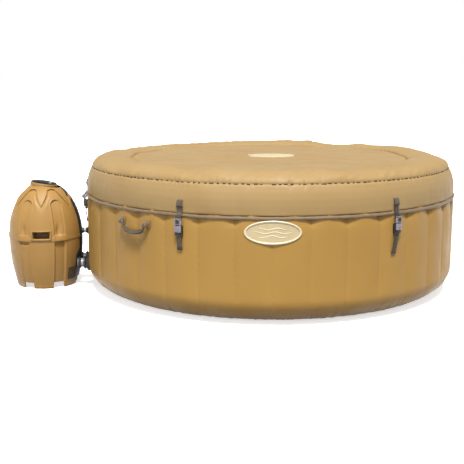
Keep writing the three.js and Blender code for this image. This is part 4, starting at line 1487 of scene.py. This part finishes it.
def build_couplings():
    """The two water couplings and the air hose, as outlines of (radius, distance from the pump's axis)."""
    start, wall = 0.172, WALL_X
    inside = math.hypot(*PUMP_AXIS) - POOL_R
    spigot = [(0.013, start), (0.0235, start), (0.0235, 0.204), (0.0195, 0.204)]
    spigot += [(0.0195, wall + 0.01), (0.013, wall + 0.01)]
    boot = [(0.018, start + 0.004), (0.030, start + 0.004), (0.030, start + 0.016), (0.022, start + 0.019)]
    flange = [(0.031, wall - 0.004), (0.036, wall - 0.006), (0.040, wall - 0.004), (0.042, wall + 0.004)]
    flange += [(0.042, wall + 0.02)]
    collar = [(0.019, wall - 0.011), (0.030, wall - 0.011), (0.032, wall - 0.007), (0.032, wall + 0.01)]
    pool = [(0.042, inside + 0.002), (0.042, inside + 0.016), (0.015, inside + 0.020), (0.015, inside)]
    for side, y in (("inlet", -WATER_Y), ("outlet", WATER_Y)):
        tube_piece(f"{side}_spigot", spigot, y, WATER_Z, GREY, "pump")
        tube_piece(f"{side}_boot", boot, y, WATER_Z, RUBBER_AND_SHADE, "black")
        tube_piece(f"{side}_wall_flange", flange, y, WATER_Z, RUBBER_AND_SHADE, "grey", f"{side}_fitting")
        tube_piece(f"{side}_wall_collar", collar, y, WATER_Z, BLACK, "black")
        tube_piece(f"{side}_pool_flange", pool, y, WATER_Z, GREY, "grey")
        build_nut(side, y)
    ends = [(0.0105, 0.178), (0.0150, 0.178), (0.0150, 0.205), (0.0105, 0.205)]
    tube_piece("air_hose_end", ends, 0.0, AIR_Z, BLACK, "black")
    middle = [(0.0090, 0.190), (0.0112, 0.190), (0.0112, wall), (0.0090, wall)]
    tube_piece("air_hose", middle, 0.0, AIR_Z, GREY, "grey", "air_duct")
    seat = [(0.0105, wall - 0.014), (0.0155, wall - 0.014), (0.0165, wall - 0.005), (0.0240, wall - 0.002)]
    tube_piece("air_hose_seat", seat + [(0.0260, wall + 0.012)], 0.0, AIR_Z, BLACK, "black")


def finish_cad_nodes():
    """Better materials on the CAD nodes that stay in view or inside."""
    finishes = {
        "heater_tube": METAL,
        "circulation_pump": BLACK,
        "air_blower": BLACK,
        "cable_gland": BLACK,
        "filter_housing": LINER,
        "filter_cartridge": PAPER,
        "wall_beams": LINER,
    }
    for node, material in finishes.items():
        frame["nodes"][node].data.materials.clear()
        frame["nodes"][node].data.materials.append(material)


# ---- studio ----
def add_area(name, place, target, size, power):
    data = bpy.data.lights.new(name, "AREA")
    data.shape = "RECTANGLE"
    data.size, data.size_y = size
    data.energy = power
    light = bpy.data.objects.new(name, data)
    light.location = place
    light.rotation_euler = (Vector(target) - Vector(place)).to_track_quat("-Z", "Y").to_euler()
    bpy.context.scene.collection.objects.link(light)


def build_sky():
    """A pale studio: white at the horizon, softer overhead, dim below it so that undersides stay dark."""
    world = bpy.data.worlds.new("studio")
    world.use_nodes = True
    tree = world.node_tree
    place = tree.nodes.new("ShaderNodeTexCoord")
    split = tree.nodes.new("ShaderNodeSeparateXYZ")
    ramp = tree.nodes.new("ShaderNodeValToRGB")
    tree.links.new(place.outputs["Generated"], split.inputs["Vector"])
    height = tree.nodes.new("ShaderNodeMath")
    height.operation = "MULTIPLY_ADD"
    height.inputs[1].default_value = 0.5
    height.inputs[2].default_value = 0.5
    tree.links.new(split.outputs["Z"], height.inputs[0])
    tree.links.new(height.outputs[0], ramp.inputs["Fac"])
    tree.links.new(ramp.outputs["Color"], tree.nodes["Background"].inputs["Color"])
    stops = ramp.color_ramp.elements
    stops[0].position, stops[0].color = 0.47, (0.12, 0.11, 0.10, 1)
    stops[1].position, stops[1].color = 1.0, (0.46, 0.46, 0.47, 1)
    for position, value in ((0.485, 1.0), (0.56, 1.0), (0.61, 0.50)):
        stops.new(position).color = (value, value, value, 1)
    bpy.context.scene.world = world


def build_studio():
    finish = Finish("studio_floor", (250, 250, 250), 0.9, specular=0.1)
    finish.shader.inputs["Emission Color"].default_value = (1, 1, 1, 1)
    finish.shader.inputs["Emission Strength"].default_value = 0.62
    white = finish.material
    size = 200
    corners = [(-size, -size), (size, -size), (size, size), (-size, size)]
    floor = add_mesh("floor", [(x, y, -0.002) for x, y in corners], [(0, 1, 2, 3)], white, smooth=False)
    floor.visible_diffuse = False
    build_sky()
    sun = bpy.data.lights.new("key", "SUN")
    sun.energy = 4.9
    sun.angle = math.radians(14)
    sun.color = (1.0, 0.985, 0.955)
    key = bpy.data.objects.new("key", sun)
    key.rotation_euler = Vector((-0.05, 0.47, -0.90)).to_track_quat("-Z", "Y").to_euler()
    bpy.context.scene.collection.objects.link(key)
    add_area("front_fill", (-1.8, -5.0, 2.0), (0, 0, 0.3), (3.0, 2.0), 45)
    scene = bpy.context.scene
    scene.view_settings.view_transform = "Standard"
    scene.view_settings.look = "None"


build_wall()
build_pool()
build_jet_holes()
build_cover()
build_stitches()
build_welt()
build_cover_pad()
build_front_badge()
build_lid_badge()
build_strap_loops()
build_webbing()
build_buckles()
build_tails()
build_handles()
build_valve("inflation", 0.016)
build_valve("drain", 0.014)
build_casing()
build_handhold()
build_port_panel()
build_vents()
build_control_head()
build_couplings()
finish_cad_nodes()
build_studio()
